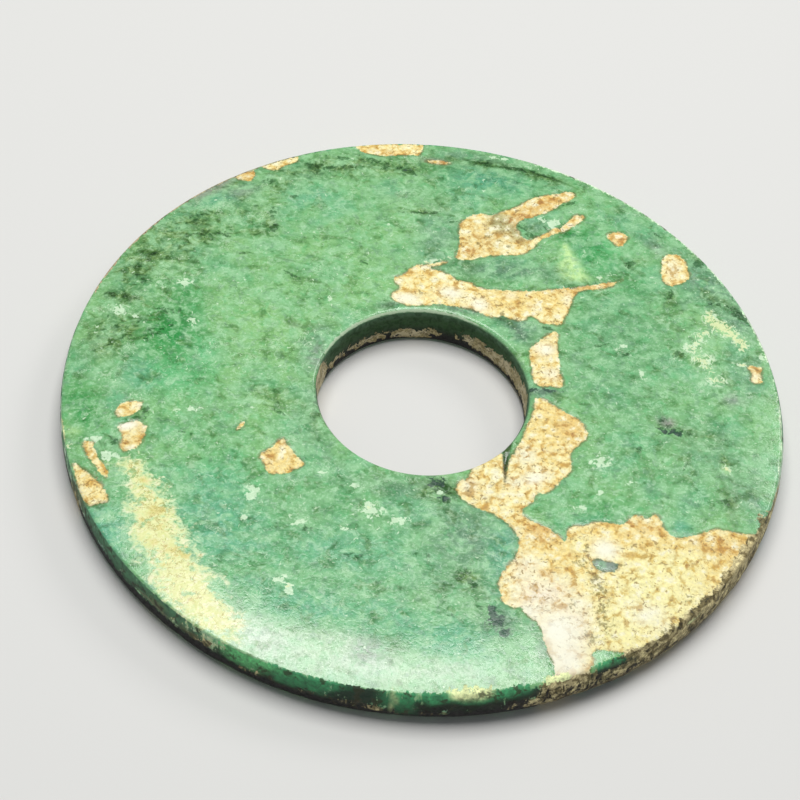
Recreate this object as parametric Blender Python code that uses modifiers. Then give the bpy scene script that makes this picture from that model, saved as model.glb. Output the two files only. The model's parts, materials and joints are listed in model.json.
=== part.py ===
"""A jade pendant: one flat carved disc with a round bore through it, lying on its underside.

Metres, +Z up. The origin is on the surface that the disc lies on, under the middle of the disc.
"""

import math

import bpy

# The disc
DISC_DIAMETER = 0.0600
DISC_THICKNESS = 0.0038  # between the two flat faces
SHOULDER_WIDTH = 0.0050  # ring inside the rim over which each face falls away
SHOULDER_DROP = 0.00035  # how far each face has fallen where the rim starts
RIM_WIDTH = 0.0008  # radial reach of the rounded rim
RIM_START = math.radians(20)  # how steeply the rim leaves the shoulder

# The bore, drilled a little off the middle
BORE_DIAMETER = 0.0174
BORE_OFFSET_X = -0.00023
BORE_OFFSET_Y = -0.00017
LIP_WIDTH = 0.0005  # radial reach of the rounded bore edge
LIP_DEPTH = 0.0008  # how far that rounding runs down the bore wall
LIP_START = math.radians(25)  # how steeply the rounding leaves the face
CUTTER_REACH = 0.0010  # how far the bore cutter stands past each face

# How finely the round forms are cut
DISC_STEPS = 120
BORE_STEPS = 72
SHOULDER_SEGMENTS = 3
RIM_SEGMENTS = 6
LIP_SEGMENTS = 3

LARGEST_SHARE = 0.4  # no rounding takes more than this share of the thickness from one side
WELD = 0.000001

JADE_COLOUR = (0.22, 0.49, 0.26, 1.0)
JADE_ROUGHNESS = 0.38


def clear_scene():
    for obj in list(bpy.data.objects):
        bpy.data.objects.remove(obj, do_unlink=True)


def new_collection(name):
    collection = bpy.data.collections.new(name)
    bpy.context.scene.collection.children.link(collection)
    return collection


def jade_material():
    material = bpy.data.materials.new("jade")
    material.use_nodes = True
    shader = material.node_tree.nodes["Principled BSDF"]
    shader.inputs["Base Color"].default_value = JADE_COLOUR
    shader.inputs["Roughness"].default_value = JADE_ROUGHNESS
    shader.inputs["Metallic"].default_value = 0.0
    return material


def mirrored_down(upper_half, middle=()):
    """The profile's upper half, any points at mid-thickness, then the upper half mirrored below it."""
    lower_half = [(radius, DISC_THICKNESS - z) for radius, z in reversed(upper_half)]
    return [*upper_half, *middle, *lower_half]


def disc_profile():
    """Half section of the disc: flat face, falling shoulder, rounded rim, and the same again below."""
    rim_radius = DISC_DIAMETER / 2
    crease_radius = rim_radius - RIM_WIDTH
    flat_radius = crease_radius - SHOULDER_WIDTH
    drop = min(SHOULDER_DROP, LARGEST_SHARE * DISC_THICKNESS)
    points = [(0.0, DISC_THICKNESS)]
    for i in range(SHOULDER_SEGMENTS):
        share = i / SHOULDER_SEGMENTS
        points.append((flat_radius + SHOULDER_WIDTH * share, DISC_THICKNESS - drop * share**2))

    # The rim is an upright ellipse that starts where its slope is RIM_START.
    half_width = RIM_WIDTH / (1 - math.sin(RIM_START))
    half_height = (DISC_THICKNESS / 2 - drop) / math.cos(RIM_START)
    for i in range(RIM_SEGMENTS // 2):
        angle = RIM_START + (math.pi / 2 - RIM_START) * i / (RIM_SEGMENTS / 2)
        radius = rim_radius - half_width * (1 - math.sin(angle))
        points.append((radius, DISC_THICKNESS / 2 + half_height * math.cos(angle)))
    return mirrored_down(points, middle=[(rim_radius, DISC_THICKNESS / 2)])


def bore_profile():
    """Half section of the bore cutter: a straight wall that flares out past the rounded edge of each face."""
    bore_radius = BORE_DIAMETER / 2
    depth = min(LIP_DEPTH, LARGEST_SHARE * DISC_THICKNESS)
    lip = []
    for i in range(LIP_SEGMENTS + 1):
        angle = LIP_START + (math.pi / 2 - LIP_START) * i / LIP_SEGMENTS
        radius = bore_radius + LIP_WIDTH * (1 - math.sin(angle))
        lip.append((radius, DISC_THICKNESS - depth * (1 - math.cos(angle))))

    # Above the face the cutter runs on along the slope at which the lip starts.
    rise = DISC_THICKNESS + CUTTER_REACH - lip[0][1]
    flare_radius = lip[0][0] + rise * LIP_WIDTH / (depth * math.tan(LIP_START))
    top = DISC_THICKNESS + CUTTER_REACH
    return mirrored_down([(0.0, top), (flare_radius, top)] + lip)


def turned(name, profile, steps, collection):
    """A solid of revolution about Z, from a half section that runs from top to bottom."""
    mesh = bpy.data.meshes.new(name)
    corners = [(radius, 0.0, z) for radius, z in profile]
    mesh.from_pydata(corners, [(i, i + 1) for i in range(len(corners) - 1)], [])
    obj = bpy.data.objects.new(name, mesh)
    collection.objects.link(obj)
    screw = obj.modifiers.new("turn", "SCREW")
    screw.axis = "Z"
    screw.steps = steps
    screw.render_steps = steps
    screw.use_merge_vertices = True
    screw.merge_threshold = WELD
    screw.use_smooth_shade = True
    return obj


def bore_cutter(collection):
    cutter = turned("bore_cutter", bore_profile(), BORE_STEPS, collection)
    cutter.location = (BORE_OFFSET_X, BORE_OFFSET_Y, 0.0)
    cutter.hide_render = True
    cutter.display_type = "WIRE"
    return cutter


def jade_disc(collection, cutter):
    disc = turned("jade_disc", disc_profile(), DISC_STEPS, collection)
    disc.data.materials.append(jade_material())
    drill = disc.modifiers.new("bore", "BOOLEAN")
    drill.operation = "DIFFERENCE"
    drill.solver = "EXACT"
    drill.object = cutter
    disc.modifiers.new("flat_faces_shade_flat", "WEIGHTED_NORMAL")
    return disc


def main():
    clear_scene()
    cutters = new_collection("cutters")
    pendant = new_collection("jade_pendant")
    jade_disc(pendant, bore_cutter(cutters))


main()
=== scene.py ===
import itertools
import json
import math

import bpy
import numpy as np
from mathutils import Matrix, Vector


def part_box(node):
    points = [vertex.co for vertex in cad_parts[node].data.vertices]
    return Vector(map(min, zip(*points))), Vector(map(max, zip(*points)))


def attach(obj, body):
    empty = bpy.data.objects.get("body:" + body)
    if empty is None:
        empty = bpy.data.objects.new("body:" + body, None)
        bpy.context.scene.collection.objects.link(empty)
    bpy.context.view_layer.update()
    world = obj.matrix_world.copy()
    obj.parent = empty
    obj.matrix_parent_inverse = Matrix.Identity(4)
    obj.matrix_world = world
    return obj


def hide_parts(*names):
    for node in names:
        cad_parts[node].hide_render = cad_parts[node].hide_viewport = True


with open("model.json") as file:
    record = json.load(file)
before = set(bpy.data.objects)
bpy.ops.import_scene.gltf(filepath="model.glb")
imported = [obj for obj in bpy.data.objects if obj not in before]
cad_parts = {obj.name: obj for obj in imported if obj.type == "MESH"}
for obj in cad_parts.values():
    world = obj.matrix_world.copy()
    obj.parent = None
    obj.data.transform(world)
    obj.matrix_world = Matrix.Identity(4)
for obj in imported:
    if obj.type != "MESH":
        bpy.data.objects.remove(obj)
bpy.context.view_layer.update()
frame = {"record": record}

low, high = (np.array(corner) * 1000 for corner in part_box("jade_disc"))
boreBox = np.array(frame["record"]["physics"]["openings"][0]["box_m"]) * 1000
print("frame loaded, disc", (high - low).round(2), "mm")

# All sizes below are in millimetres unless a name says otherwise.
mm = 0.001
tau = 2 * math.pi

tones = {  # screen colours, 0 to 255
    "jade": (134, 193, 130),
    "pine": (120, 180, 128),
    "leaf": (48, 154, 74),
    "mint": (112, 202, 134),
    "sea": (106, 186, 150),
    "spring": (154, 208, 134),
    "sage": (122, 162, 132),
    "ash": (104, 124, 108),
    "lilac": (150, 162, 150),
    "rose": (166, 166, 152),
    "slate": (150, 164, 152),
    "lime": (216, 252, 174),
    "moss": (92, 130, 72),
    "mossLight": (148, 184, 114),
    "dew": (162, 216, 162),
    "haze": (186, 230, 184),
    "fleck": (218, 246, 208),
    "trail": (236, 244, 186),
    "smoke": (54, 78, 68),
    "veil": (247, 246, 176),
    "veilPale": (208, 236, 182),
    "veilGold": (232, 214, 122),
    "cream": (254, 242, 178),
    "butter": (255, 247, 176),
    "golden": (249, 223, 140),
    "amber": (234, 196, 114),
    "blush": (252, 241, 214),
    "ivory": (255, 251, 218),
    "cocoa": (226, 202, 140),
    "misty": (176, 172, 118),
    "rust": (196, 148, 80),
    "spot": (146, 114, 56),
    "outline": (112, 100, 48),
    "emerald": (62, 144, 94),
    "fern": (100, 188, 118),
    "mist": (78, 126, 92),
    "tar": (22, 44, 32),
    "soil": (112, 96, 56),
    "lemon": (224, 232, 170),
    "shell": (176, 156, 124),
    "crustDark": (52, 46, 27),
    "crustBrown": (116, 104, 66),
    "crustBeige": (188, 174, 128),
    "crustPale": (240, 226, 168),
    # near-black of soot and of painted shade, low on the rim and deep in the bore
    "grimeAndShade": (14, 13, 9),
    "wallGreen": (44, 84, 38),
    "wallLitBand": (74, 108, 76),
    "plaster": (212, 200, 164),
    # pale of the painted highlight on the bore's lip, also used for wear along the rim's upper edge
    "lip": (206, 226, 192),
    # whitish colour of a painted highlight on the near shoulder
    "frostHighlight": (216, 232, 208),
    "bleach": (255, 254, 234),
    "floor": (226, 225, 221),
}


def tone(name):
    # a screen colour as the linear light that shaders use
    share = np.array(tones[name]) / 255
    linear = np.where(share <= 0.04045, share / 12.92, ((share + 0.055) / 1.055) ** 2.4)
    return (*linear, 1.0)


# The camera, as fitted to the disc's outline and bore in the photograph
cameraFacts = {
    "aim": (-2.02, 1.62, 0.0),
    "distance": 185.7,
    "elevation": 49.73,
    "roll": 5.93,
    "lens": 99.0,
    "sensor": 36.0,
    "nearest": 10.0,  # what lies nearer or farther isn't drawn
    "farthest": 20000.0,
}


def makeCamera():
    data = bpy.data.cameras.new("camera")
    data.lens = cameraFacts["lens"]
    data.sensor_width = cameraFacts["sensor"]
    data.clip_start = cameraFacts["nearest"] * mm
    data.clip_end = cameraFacts["farthest"] * mm
    camera = bpy.data.objects.new("camera", data)
    bpy.context.scene.collection.objects.link(camera)
    rise, roll = math.radians(cameraFacts["elevation"]), math.radians(cameraFacts["roll"])
    back = Vector((0, -math.cos(rise), math.sin(rise)))
    turn = Matrix.Rotation(math.pi / 2 - rise, 4, "X") @ Matrix.Rotation(roll, 4, "Z")
    place = (Vector(cameraFacts["aim"]) + back * cameraFacts["distance"]) * mm
    camera.matrix_world = Matrix.Translation(place) @ turn
    bpy.context.scene.camera = camera
    print("camera placed at", [round(v, 4) for v in place])


lightFacts = {  # centre, width and depth in millimetres; radiance is that of the lamp's face
    "overhead": {"place": (-15, 72, 400), "size": (270, 265), "radiance": 6.4, "aim": (-15, 72, 0)},
    "backRight": {"place": (420, 420, 430), "size": (240, 240), "radiance": 5.0, "aim": (0, 0, 0)},
}
sky = {"colour": (0.9, 0.95, 1.0, 1.0), "strength": 0.2}
floorFacts = {"width": 3000, "roughness": 0.7}


def makeLamp(name, facts):
    width, depth = (side * mm for side in facts["size"])
    data = bpy.data.lights.new(name, "AREA")
    data.shape = "RECTANGLE"
    data.size, data.size_y = width, depth
    data.energy = facts["radiance"] * math.pi * width * depth
    lamp = bpy.data.objects.new(name, data)
    lamp.location = Vector(facts["place"]) * mm
    lamp.rotation_mode = "QUATERNION"
    away = Vector(facts["place"]) - Vector(facts["aim"])
    lamp.rotation_quaternion = away.to_track_quat("Z", "Y")
    bpy.context.scene.collection.objects.link(lamp)


def makeStudio():
    for name, facts in lightFacts.items():
        makeLamp(name, facts)
    world = bpy.data.worlds.new("studio")
    world.use_nodes = True
    background = world.node_tree.nodes["Background"]
    background.inputs["Color"].default_value = sky["colour"]
    background.inputs["Strength"].default_value = sky["strength"]
    bpy.context.scene.world = world
    bpy.context.scene.view_settings.view_transform = "Standard"
    print("studio lit by", len(lightFacts), "lamps")


def makeFloor():
    edge = np.array([(-1, -1, 0), (1, -1, 0), (1, 1, 0), (-1, 1, 0)]) * floorFacts["width"] / 2 * mm
    mesh = bpy.data.meshes.new("floor")
    mesh.from_pydata(edge.tolist(), [], [(0, 1, 2, 3)])
    material = bpy.data.materials.new("floor")
    material.use_nodes = True
    shader = material.node_tree.nodes["Principled BSDF"]
    shader.inputs["Base Color"].default_value = tone("floor")
    shader.inputs["Roughness"].default_value = floorFacts["roughness"]
    mesh.materials.append(material)
    floor = bpy.data.objects.new("floor", mesh)
    bpy.context.scene.collection.objects.link(floor)


# The disc's own shape. Its width, its thickness and the bore's middle come from the frame.
disc = {
    "radius": (high[0] - low[0]) / 2,
    "thickness": high[2] - low[2],
    "boreRadius": 8.7,
    "boreCentre": boreBox[:, :2].mean(0),
    "boreDrift": 6.0,  # how far out the rings have become concentric with the rim
    "lipWidth": 0.5,
    "lipDepth": 0.8,
    "shoulderStart": 24.2,
    "shoulderFall": 0.35,  # how far the shoulder has fallen after the next length
    "shoulderLength": 5.0,
    "rimStart": math.radians(20),
    "around": 592,
    "wallRings": 8,
    "lipRings": 5,
    "faceRings": 70,
    "shoulderRings": 25,
    "rimRings": 11,
    "undersideShare": 0.33,  # the underside has this share of the upper face's rings
}
# How far inside the rim the shoulder ends, which differs round the disc: turn in degrees, distance
rimInset = [
    (-165, 0.16), (-135, 0.13), (-118, 0.14), (-104, 0.22), (-90, 0.42), (-75, 0.55), (-60, 0.62),
    (-48, 0.38), (-30, 0.3), (-10, 0.36), (30, 0.42), (80, 0.45), (130, 0.4), (180, 0.28),
]


def eased(values, start, end):
    # 0 up to start, 1 from end, and a smooth step between
    share = np.clip((values - start) / (end - start), 0, 1)
    return share * share * (3 - 2 * share)


def cornerRadius(degrees):
    # where the shoulder ends and the rounding of the rim starts, for each turn
    return disc["radius"] - np.interp(degrees, *zip(*rimInset), period=360)


def shoulderDrop(radius):
    # how far the shoulder lies below the flat face: it grows with the square of the distance
    steepness = disc["shoulderFall"] / disc["shoulderLength"] ** 2
    return steepness * (radius - disc["shoulderStart"]) ** 2


def halfSection(turn, share):
    # From mid-wall in the bore, up over its lip, out across the face and the falling shoulder, and
    # round to the middle of the rim. Every ring has one radius and one height for each turn.
    top, outer, flat = disc["thickness"], disc["radius"], disc["shoulderStart"]
    lipTop = top - disc["lipDepth"]
    lipEnd = disc["boreRadius"] + disc["lipWidth"]
    corner = cornerRadius(turn)
    halfWidth = (outer - corner) / (1 - math.sin(disc["rimStart"]))
    halfHeight = (top / 2 - shoulderDrop(corner)) / math.cos(disc["rimStart"])

    def steps(name, fewest=4):
        rings = max(fewest, round(disc[name] * share))
        return (np.arange(rings) / rings)[:, None] + np.zeros_like(turn)

    wall, face = steps("wallRings"), steps("faceRings")
    lip = (1 - steps("lipRings")) * math.pi / 2
    fall = flat + (corner - flat) * steps("shoulderRings")
    bend = disc["rimStart"] + (math.pi / 2 - disc["rimStart"]) * steps("rimRings")
    radius = np.concatenate([
        np.full_like(wall, disc["boreRadius"]),
        disc["boreRadius"] + disc["lipWidth"] * (1 - np.sin(lip)),
        lipEnd + (flat - lipEnd) * face,
        fall,
        outer - halfWidth * (1 - np.sin(bend)),
    ])
    height = np.concatenate([
        top / 2 + (lipTop - top / 2) * wall,
        lipTop + disc["lipDepth"] * np.cos(lip),
        np.full_like(face, top),
        top - shoulderDrop(fall),
        top / 2 + halfHeight * np.cos(bend),
    ])
    return radius, height


def discSection():
    # The upper half, the middle of the rim, and then the lower half back inwards, mirrored and
    # coarser. Mid-wall of the bore is left to the upper half.
    turn = np.arange(disc["around"]) / disc["around"] * 360 - 180
    middle = disc["thickness"] / 2
    radius, height = halfSection(turn, 1.0)
    lowRadius, lowHeight = halfSection(turn, disc["undersideShare"])
    radius = np.concatenate([radius, np.full((1, len(turn)), disc["radius"]), lowRadius[:0:-1]])
    height = np.concatenate([height, np.full((1, len(turn)), middle), 2 * middle - lowHeight[:0:-1]])
    return np.radians(turn), radius, height


def discGrid():
    # Each ring of the section turned about Z; near the bore the rings share the bore's own centre.
    turn, radius, height = discSection()
    drift = 1 - eased(radius, disc["boreRadius"], disc["boreRadius"] + disc["boreDrift"])
    x = drift * disc["boreCentre"][0] + radius * np.cos(turn)
    y = drift * disc["boreCentre"][1] + radius * np.sin(turn)
    return np.stack([x, y, height], -1)


def gridNormals(points):
    # across the grid's two directions, both closed, so neighbours are found by rolling
    along = np.roll(points, -1, 1) - np.roll(points, 1, 1)
    outward = np.roll(points, -1, 0) - np.roll(points, 1, 0)
    normal = np.cross(outward, along)
    return normal / np.linalg.norm(normal, axis=-1, keepdims=True)


# Large odd factors and shifts that scramble the numbers of a lattice's corner into 32 random bits
scramble = {
    "corner": (73856093, 19349663, 83492791),
    "seed": 2654435761,
    "rounds": ((15, 2246822519), (13, 3266489917)),
    "lastShift": 16,
    "allBits": 0xFFFFFFFF,
    "halfRange": 0x7FFFFFFF,
}


def cornerHeight(corner, seed):
    # a random height, -1 to 1, for each corner of the lattice
    x, y, z = np.moveaxis(corner * scramble["corner"], -1, 0)
    bits = (x ^ y ^ z ^ seed * scramble["seed"]) & scramble["allBits"]
    for shift, factor in scramble["rounds"]:
        bits = ((bits ^ bits >> shift) * factor) & scramble["allBits"]
    return (bits ^ bits >> scramble["lastShift"]) / scramble["halfRange"] - 1


def cloud(points, cell, seed):
    # smooth noise, -1 to 1: random heights at the corners of a lattice, eased between them
    spot = points / cell
    base = np.floor(spot).astype(np.int64)
    ease = eased(spot - base, 0, 1)
    total = np.zeros(points.shape[:-1])
    for corner in itertools.product((0, 1), repeat=3):
        share = np.prod(np.where(corner, ease, 1 - ease), axis=-1)
        total += share * cornerHeight(base + corner, seed)
    return total


# Outlines of the altered stone that lies flush in the faces, as seen from above, round either way
patches = {
    "band": [
        (-3.8, 10.2), (-3.5, 9.5), (-2.1, 9.0), (-1.0, 9.2), (0.3, 9.55), (2.3, 9.5), (3.3, 9.4), (4.1, 9.0),
        (5.3, 8.6), (6.0, 9.0), (6.8, 8.6), (7.9, 8.6), (8.2, 9.3), (8.8, 9.15), (9.2, 8.6), (10.9, 8.5),
        (11.4, 9.7), (11.7, 10.9), (11.9, 12.0), (12.4, 12.85), (14.1, 13.2), (15.3, 13.8), (16.3, 14.7),
        (15.1, 14.15), (13.2, 13.6), (12.0, 13.1), (10.9, 12.9), (9.1, 12.35), (7.0, 12.05), (4.1, 11.9),
        (3.3, 12.1), (3.2, 12.5), (1.7, 12.6), (1.2, 13.2), (0.0, 13.55), (-0.7, 13.7), (0.3, 14.15),
        (0.9, 14.7), (0.2, 14.6), (-1.0, 14.0), (-1.9, 13.95), (-2.4, 13.2), (-2.9, 12.5), (-3.8, 12.1),
        (-2.95, 10.9),
    ],
    "fork": [
        (1.5, 15.1), (1.65, 16.4), (1.8, 17.2), (1.6, 18.3), (1.65, 19.6), (2.1, 20.2), (3.0, 20.9),
        (4.85, 21.0), (5.2, 21.5), (6.2, 22.0), (7.1, 22.9), (8.0, 23.65), (9.1, 24.2), (10.3, 24.6),
        (11.2, 25.15), (11.8, 24.9), (11.7, 24.2), (10.8, 23.5), (10.0, 22.6), (9.1, 21.8), (7.9, 21.2),
        (7.0, 20.7), (6.6, 20.0), (6.8, 19.3), (7.2, 18.5), (8.0, 18.35), (9.0, 19.1), (9.6, 19.6),
        (9.85, 20.1), (10.6, 20.2), (11.2, 21.2), (11.8, 22.0), (12.7, 22.2), (12.6, 21.5), (11.8, 20.6),
        (11.0, 19.85), (10.0, 19.4), (9.3, 18.8), (8.85, 18.35), (8.1, 17.2), (7.1, 16.35), (5.6, 16.15),
        (4.1, 15.75), (2.6, 15.1),
    ],
    "bead": [
        (14.55, 19.55), (14.85, 20.3), (16.0, 20.5), (16.65, 20.15), (16.45, 19.5), (16.2, 18.7),
        (15.4, 18.65), (15.15, 19.35),
    ],
    "seed": [
        (19.65, 17.9), (20.1, 18.4), (21.0, 18.7), (21.6, 18.2), (21.9, 17.0), (22.1, 16.2), (21.9, 15.5),
        (21.0, 14.8), (20.2, 14.4), (19.7, 15.0), (19.45, 15.8), (19.55, 17.0),
    ],
    "peg": [
        (26.95, 6.4), (28.2, 6.45), (28.2, 5.9), (27.95, 5.6), (28.25, 4.6), (27.9, 4.4), (27.3, 4.4),
        (27.15, 4.8), (27.25, 5.4), (27.0, 6.0),
    ],
    "tongue": [
        (10.2, 7.8), (10.75, 7.7), (10.8, 7.0), (10.75, 6.0), (10.95, 4.8), (11.05, 3.2), (11.4, 2.5),
        (11.3, 1.6), (9.3, 1.5), (8.8, 2.0), (8.7, 3.0), (8.5, 4.2), (8.3, 5.0), (8.6, 5.9), (9.3, 6.7),
    ],
    "mainland": [
        (9.1, 0.35), (10.1, 0.0), (11.1, -0.7), (12.1, -1.3), (13.0, -1.9), (13.6, -3.1), (13.4, -3.8),
        (12.8, -4.4), (12.3, -5.1), (12.15, -5.9), (12.4, -6.8), (12.2, -7.5), (11.6, -8.1), (11.1, -9.0),
        (10.4, -9.7), (9.5, -9.9), (9.5, -10.4), (9.0, -11.1), (8.35, -11.7), (8.7, -12.2), (9.5, -12.7),
        (10.8, -13.1), (11.0, -13.6), (11.5, -13.7), (12.0, -14.4), (12.2, -13.6), (12.2, -13.0),
        (12.7, -12.6), (13.7, -12.5), (14.1, -12.1), (15.0, -11.95), (16.5, -12.05), (17.0, -11.6),
        (17.3, -11.05), (17.9, -10.9), (18.3, -11.2), (18.8, -10.9), (19.1, -10.6), (19.5, -11.0),
        (19.8, -11.9), (20.4, -12.7), (21.2, -12.8), (22.2, -12.4), (23.2, -11.8), (24.1, -11.4),
        (25.5, -11.45), (26.6, -11.5), (28.2, -11.0), (32.0, -12.0), (30.0, -20.0), (22.0, -30.0),
        (18.9, -24.4), (18.0, -23.7), (16.6, -24.0), (15.2, -23.9), (14.3, -24.2), (14.6, -24.9),
        (14.3, -25.9), (15.5, -28.5), (11.0, -30.0), (11.6, -26.9), (11.65, -26.0), (11.2, -25.0),
        (10.75, -24.1), (10.5, -22.9), (10.0, -22.1), (9.1, -21.5), (8.9, -20.95), (8.1, -21.1),
        (7.5, -20.8), (7.2, -19.9), (6.95, -19.0), (7.05, -18.2), (7.5, -17.4), (8.1, -16.6), (8.4, -15.4),
        (8.35, -14.4), (7.9, -13.6), (7.0, -12.8), (6.0, -12.15), (5.0, -11.9), (4.0, -11.4), (3.3, -10.8),
        (3.1, -9.9), (3.3, -9.35), (3.9, -9.1), (4.25, -8.5), (4.3, -7.4), (5.6, -6.0), (6.5, -5.6),
        (6.75, -6.6), (6.95, -8.0), (7.02, -9.3), (7.1, -8.0), (7.2, -7.0), (7.5, -6.0), (7.9, -5.0),
        (8.2, -4.2), (8.4, -3.2), (8.65, -2.5), (8.9, -1.8), (9.0, -0.2),
    ],
    "chevron": [
        (-24.7, -6.5), (-24.8, -5.6), (-24.4, -4.8), (-23.5, -4.55), (-22.7, -4.6), (-22.9, -5.5),
        (-23.6, -6.15),
    ],
    "boot": [
        (-24.65, -7.5), (-23.9, -6.95), (-23.1, -6.6), (-22.6, -6.6), (-22.4, -7.1), (-22.0, -6.95),
        (-22.15, -8.4), (-22.4, -9.3), (-23.6, -10.05), (-23.95, -9.4), (-23.85, -8.1), (-24.3, -7.75),
    ],
    "bar": [
        (-27.0, -9.3), (-26.6, -9.0), (-26.1, -9.05), (-25.9, -9.8), (-25.0, -11.2), (-24.3, -12.1),
        (-24.5, -12.6), (-24.9, -12.4), (-26.5, -10.2),
    ],
    "wedge": [
        (-27.5, -10.8), (-27.0, -11.5), (-26.0, -12.1), (-25.1, -12.9), (-24.1, -14.1), (-23.9, -14.8),
        (-24.9, -15.15), (-25.3, -15.4), (-26.1, -14.8), (-26.7, -13.3),
    ],
    "sliver": [(-14.35, -5.35), (-14.2, -5.7), (-14.5, -6.2), (-14.85, -6.65), (-14.95, -6.1)],
    "kite": [
        (-11.2, -6.65), (-10.7, -7.4), (-10.1, -8.2), (-9.0, -9.3), (-10.3, -10.4), (-11.7, -10.7),
        (-12.1, -10.2), (-12.4, -9.3), (-12.9, -8.95), (-11.7, -7.7),
    ],
    "farRimLeft": [(-19.9, 24.5), (-18.6, 22.5), (-17.4, 22.2), (-17.0, 22.9), (-17.1, 23.6), (-17.8, 26.0)],
    "farRim": [(-17.5, 25.9), (-16.3, 24.2), (-15.2, 23.9), (-14.6, 24.7), (-13.3, 25.6), (-14.0, 28.5)],
    "smear": [(-2.1, 27.15), (-0.8, 27.4), (0.5, 27.15), (-0.2, 26.85), (-1.6, 26.8)],
    "farRimRight": [
        (-9.4, 30.0), (-8.2, 27.9), (-7.3, 27.4), (-5.6, 27.2), (-4.2, 27.6), (-2.5, 27.8), (-2.3, 28.9),
        (-2.0, 31.5),
    ],
}
islandOutline = [  # the green that is left inside the mainland
    (14.15, -16.0), (14.3, -15.7), (14.8, -15.6), (15.5, -15.85), (16.3, -15.8), (16.2, -16.3),
    (15.9, -16.75), (15.3, -16.85), (14.7, -16.7), (14.3, -16.4),
]
crackOutline = [
    (6.55, -4.6), (7.45, -4.6), (7.2, -6.4), (7.1, -8.0), (7.0, -10.0), (6.85, -8.0), (6.7, -6.4),
]
streakOutline = [  # the cloudy yellow streak, whose fringe is made ragged by noise
    (-24.0, -11.2), (-22.6, -10.3), (-21.5, -11.2), (-20.3, -12.6), (-19.3, -13.6), (-18.8, -14.9),
    (-18.2, -16.0), (-17.5, -17.1), (-17.1, -18.4), (-16.3, -19.2), (-15.6, -20.2), (-14.8, -21.2),
    (-14.0, -22.4), (-13.2, -23.8), (-12.1, -24.9), (-11.9, -26.2), (-13.6, -26.8), (-15.7, -25.6),
    (-17.4, -24.6), (-18.6, -23.4), (-19.4, -22.0), (-19.8, -20.6), (-20.6, -19.4), (-21.8, -18.9),
    (-21.9, -17.0), (-22.6, -15.0), (-22.5, -13.4),
]

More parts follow.
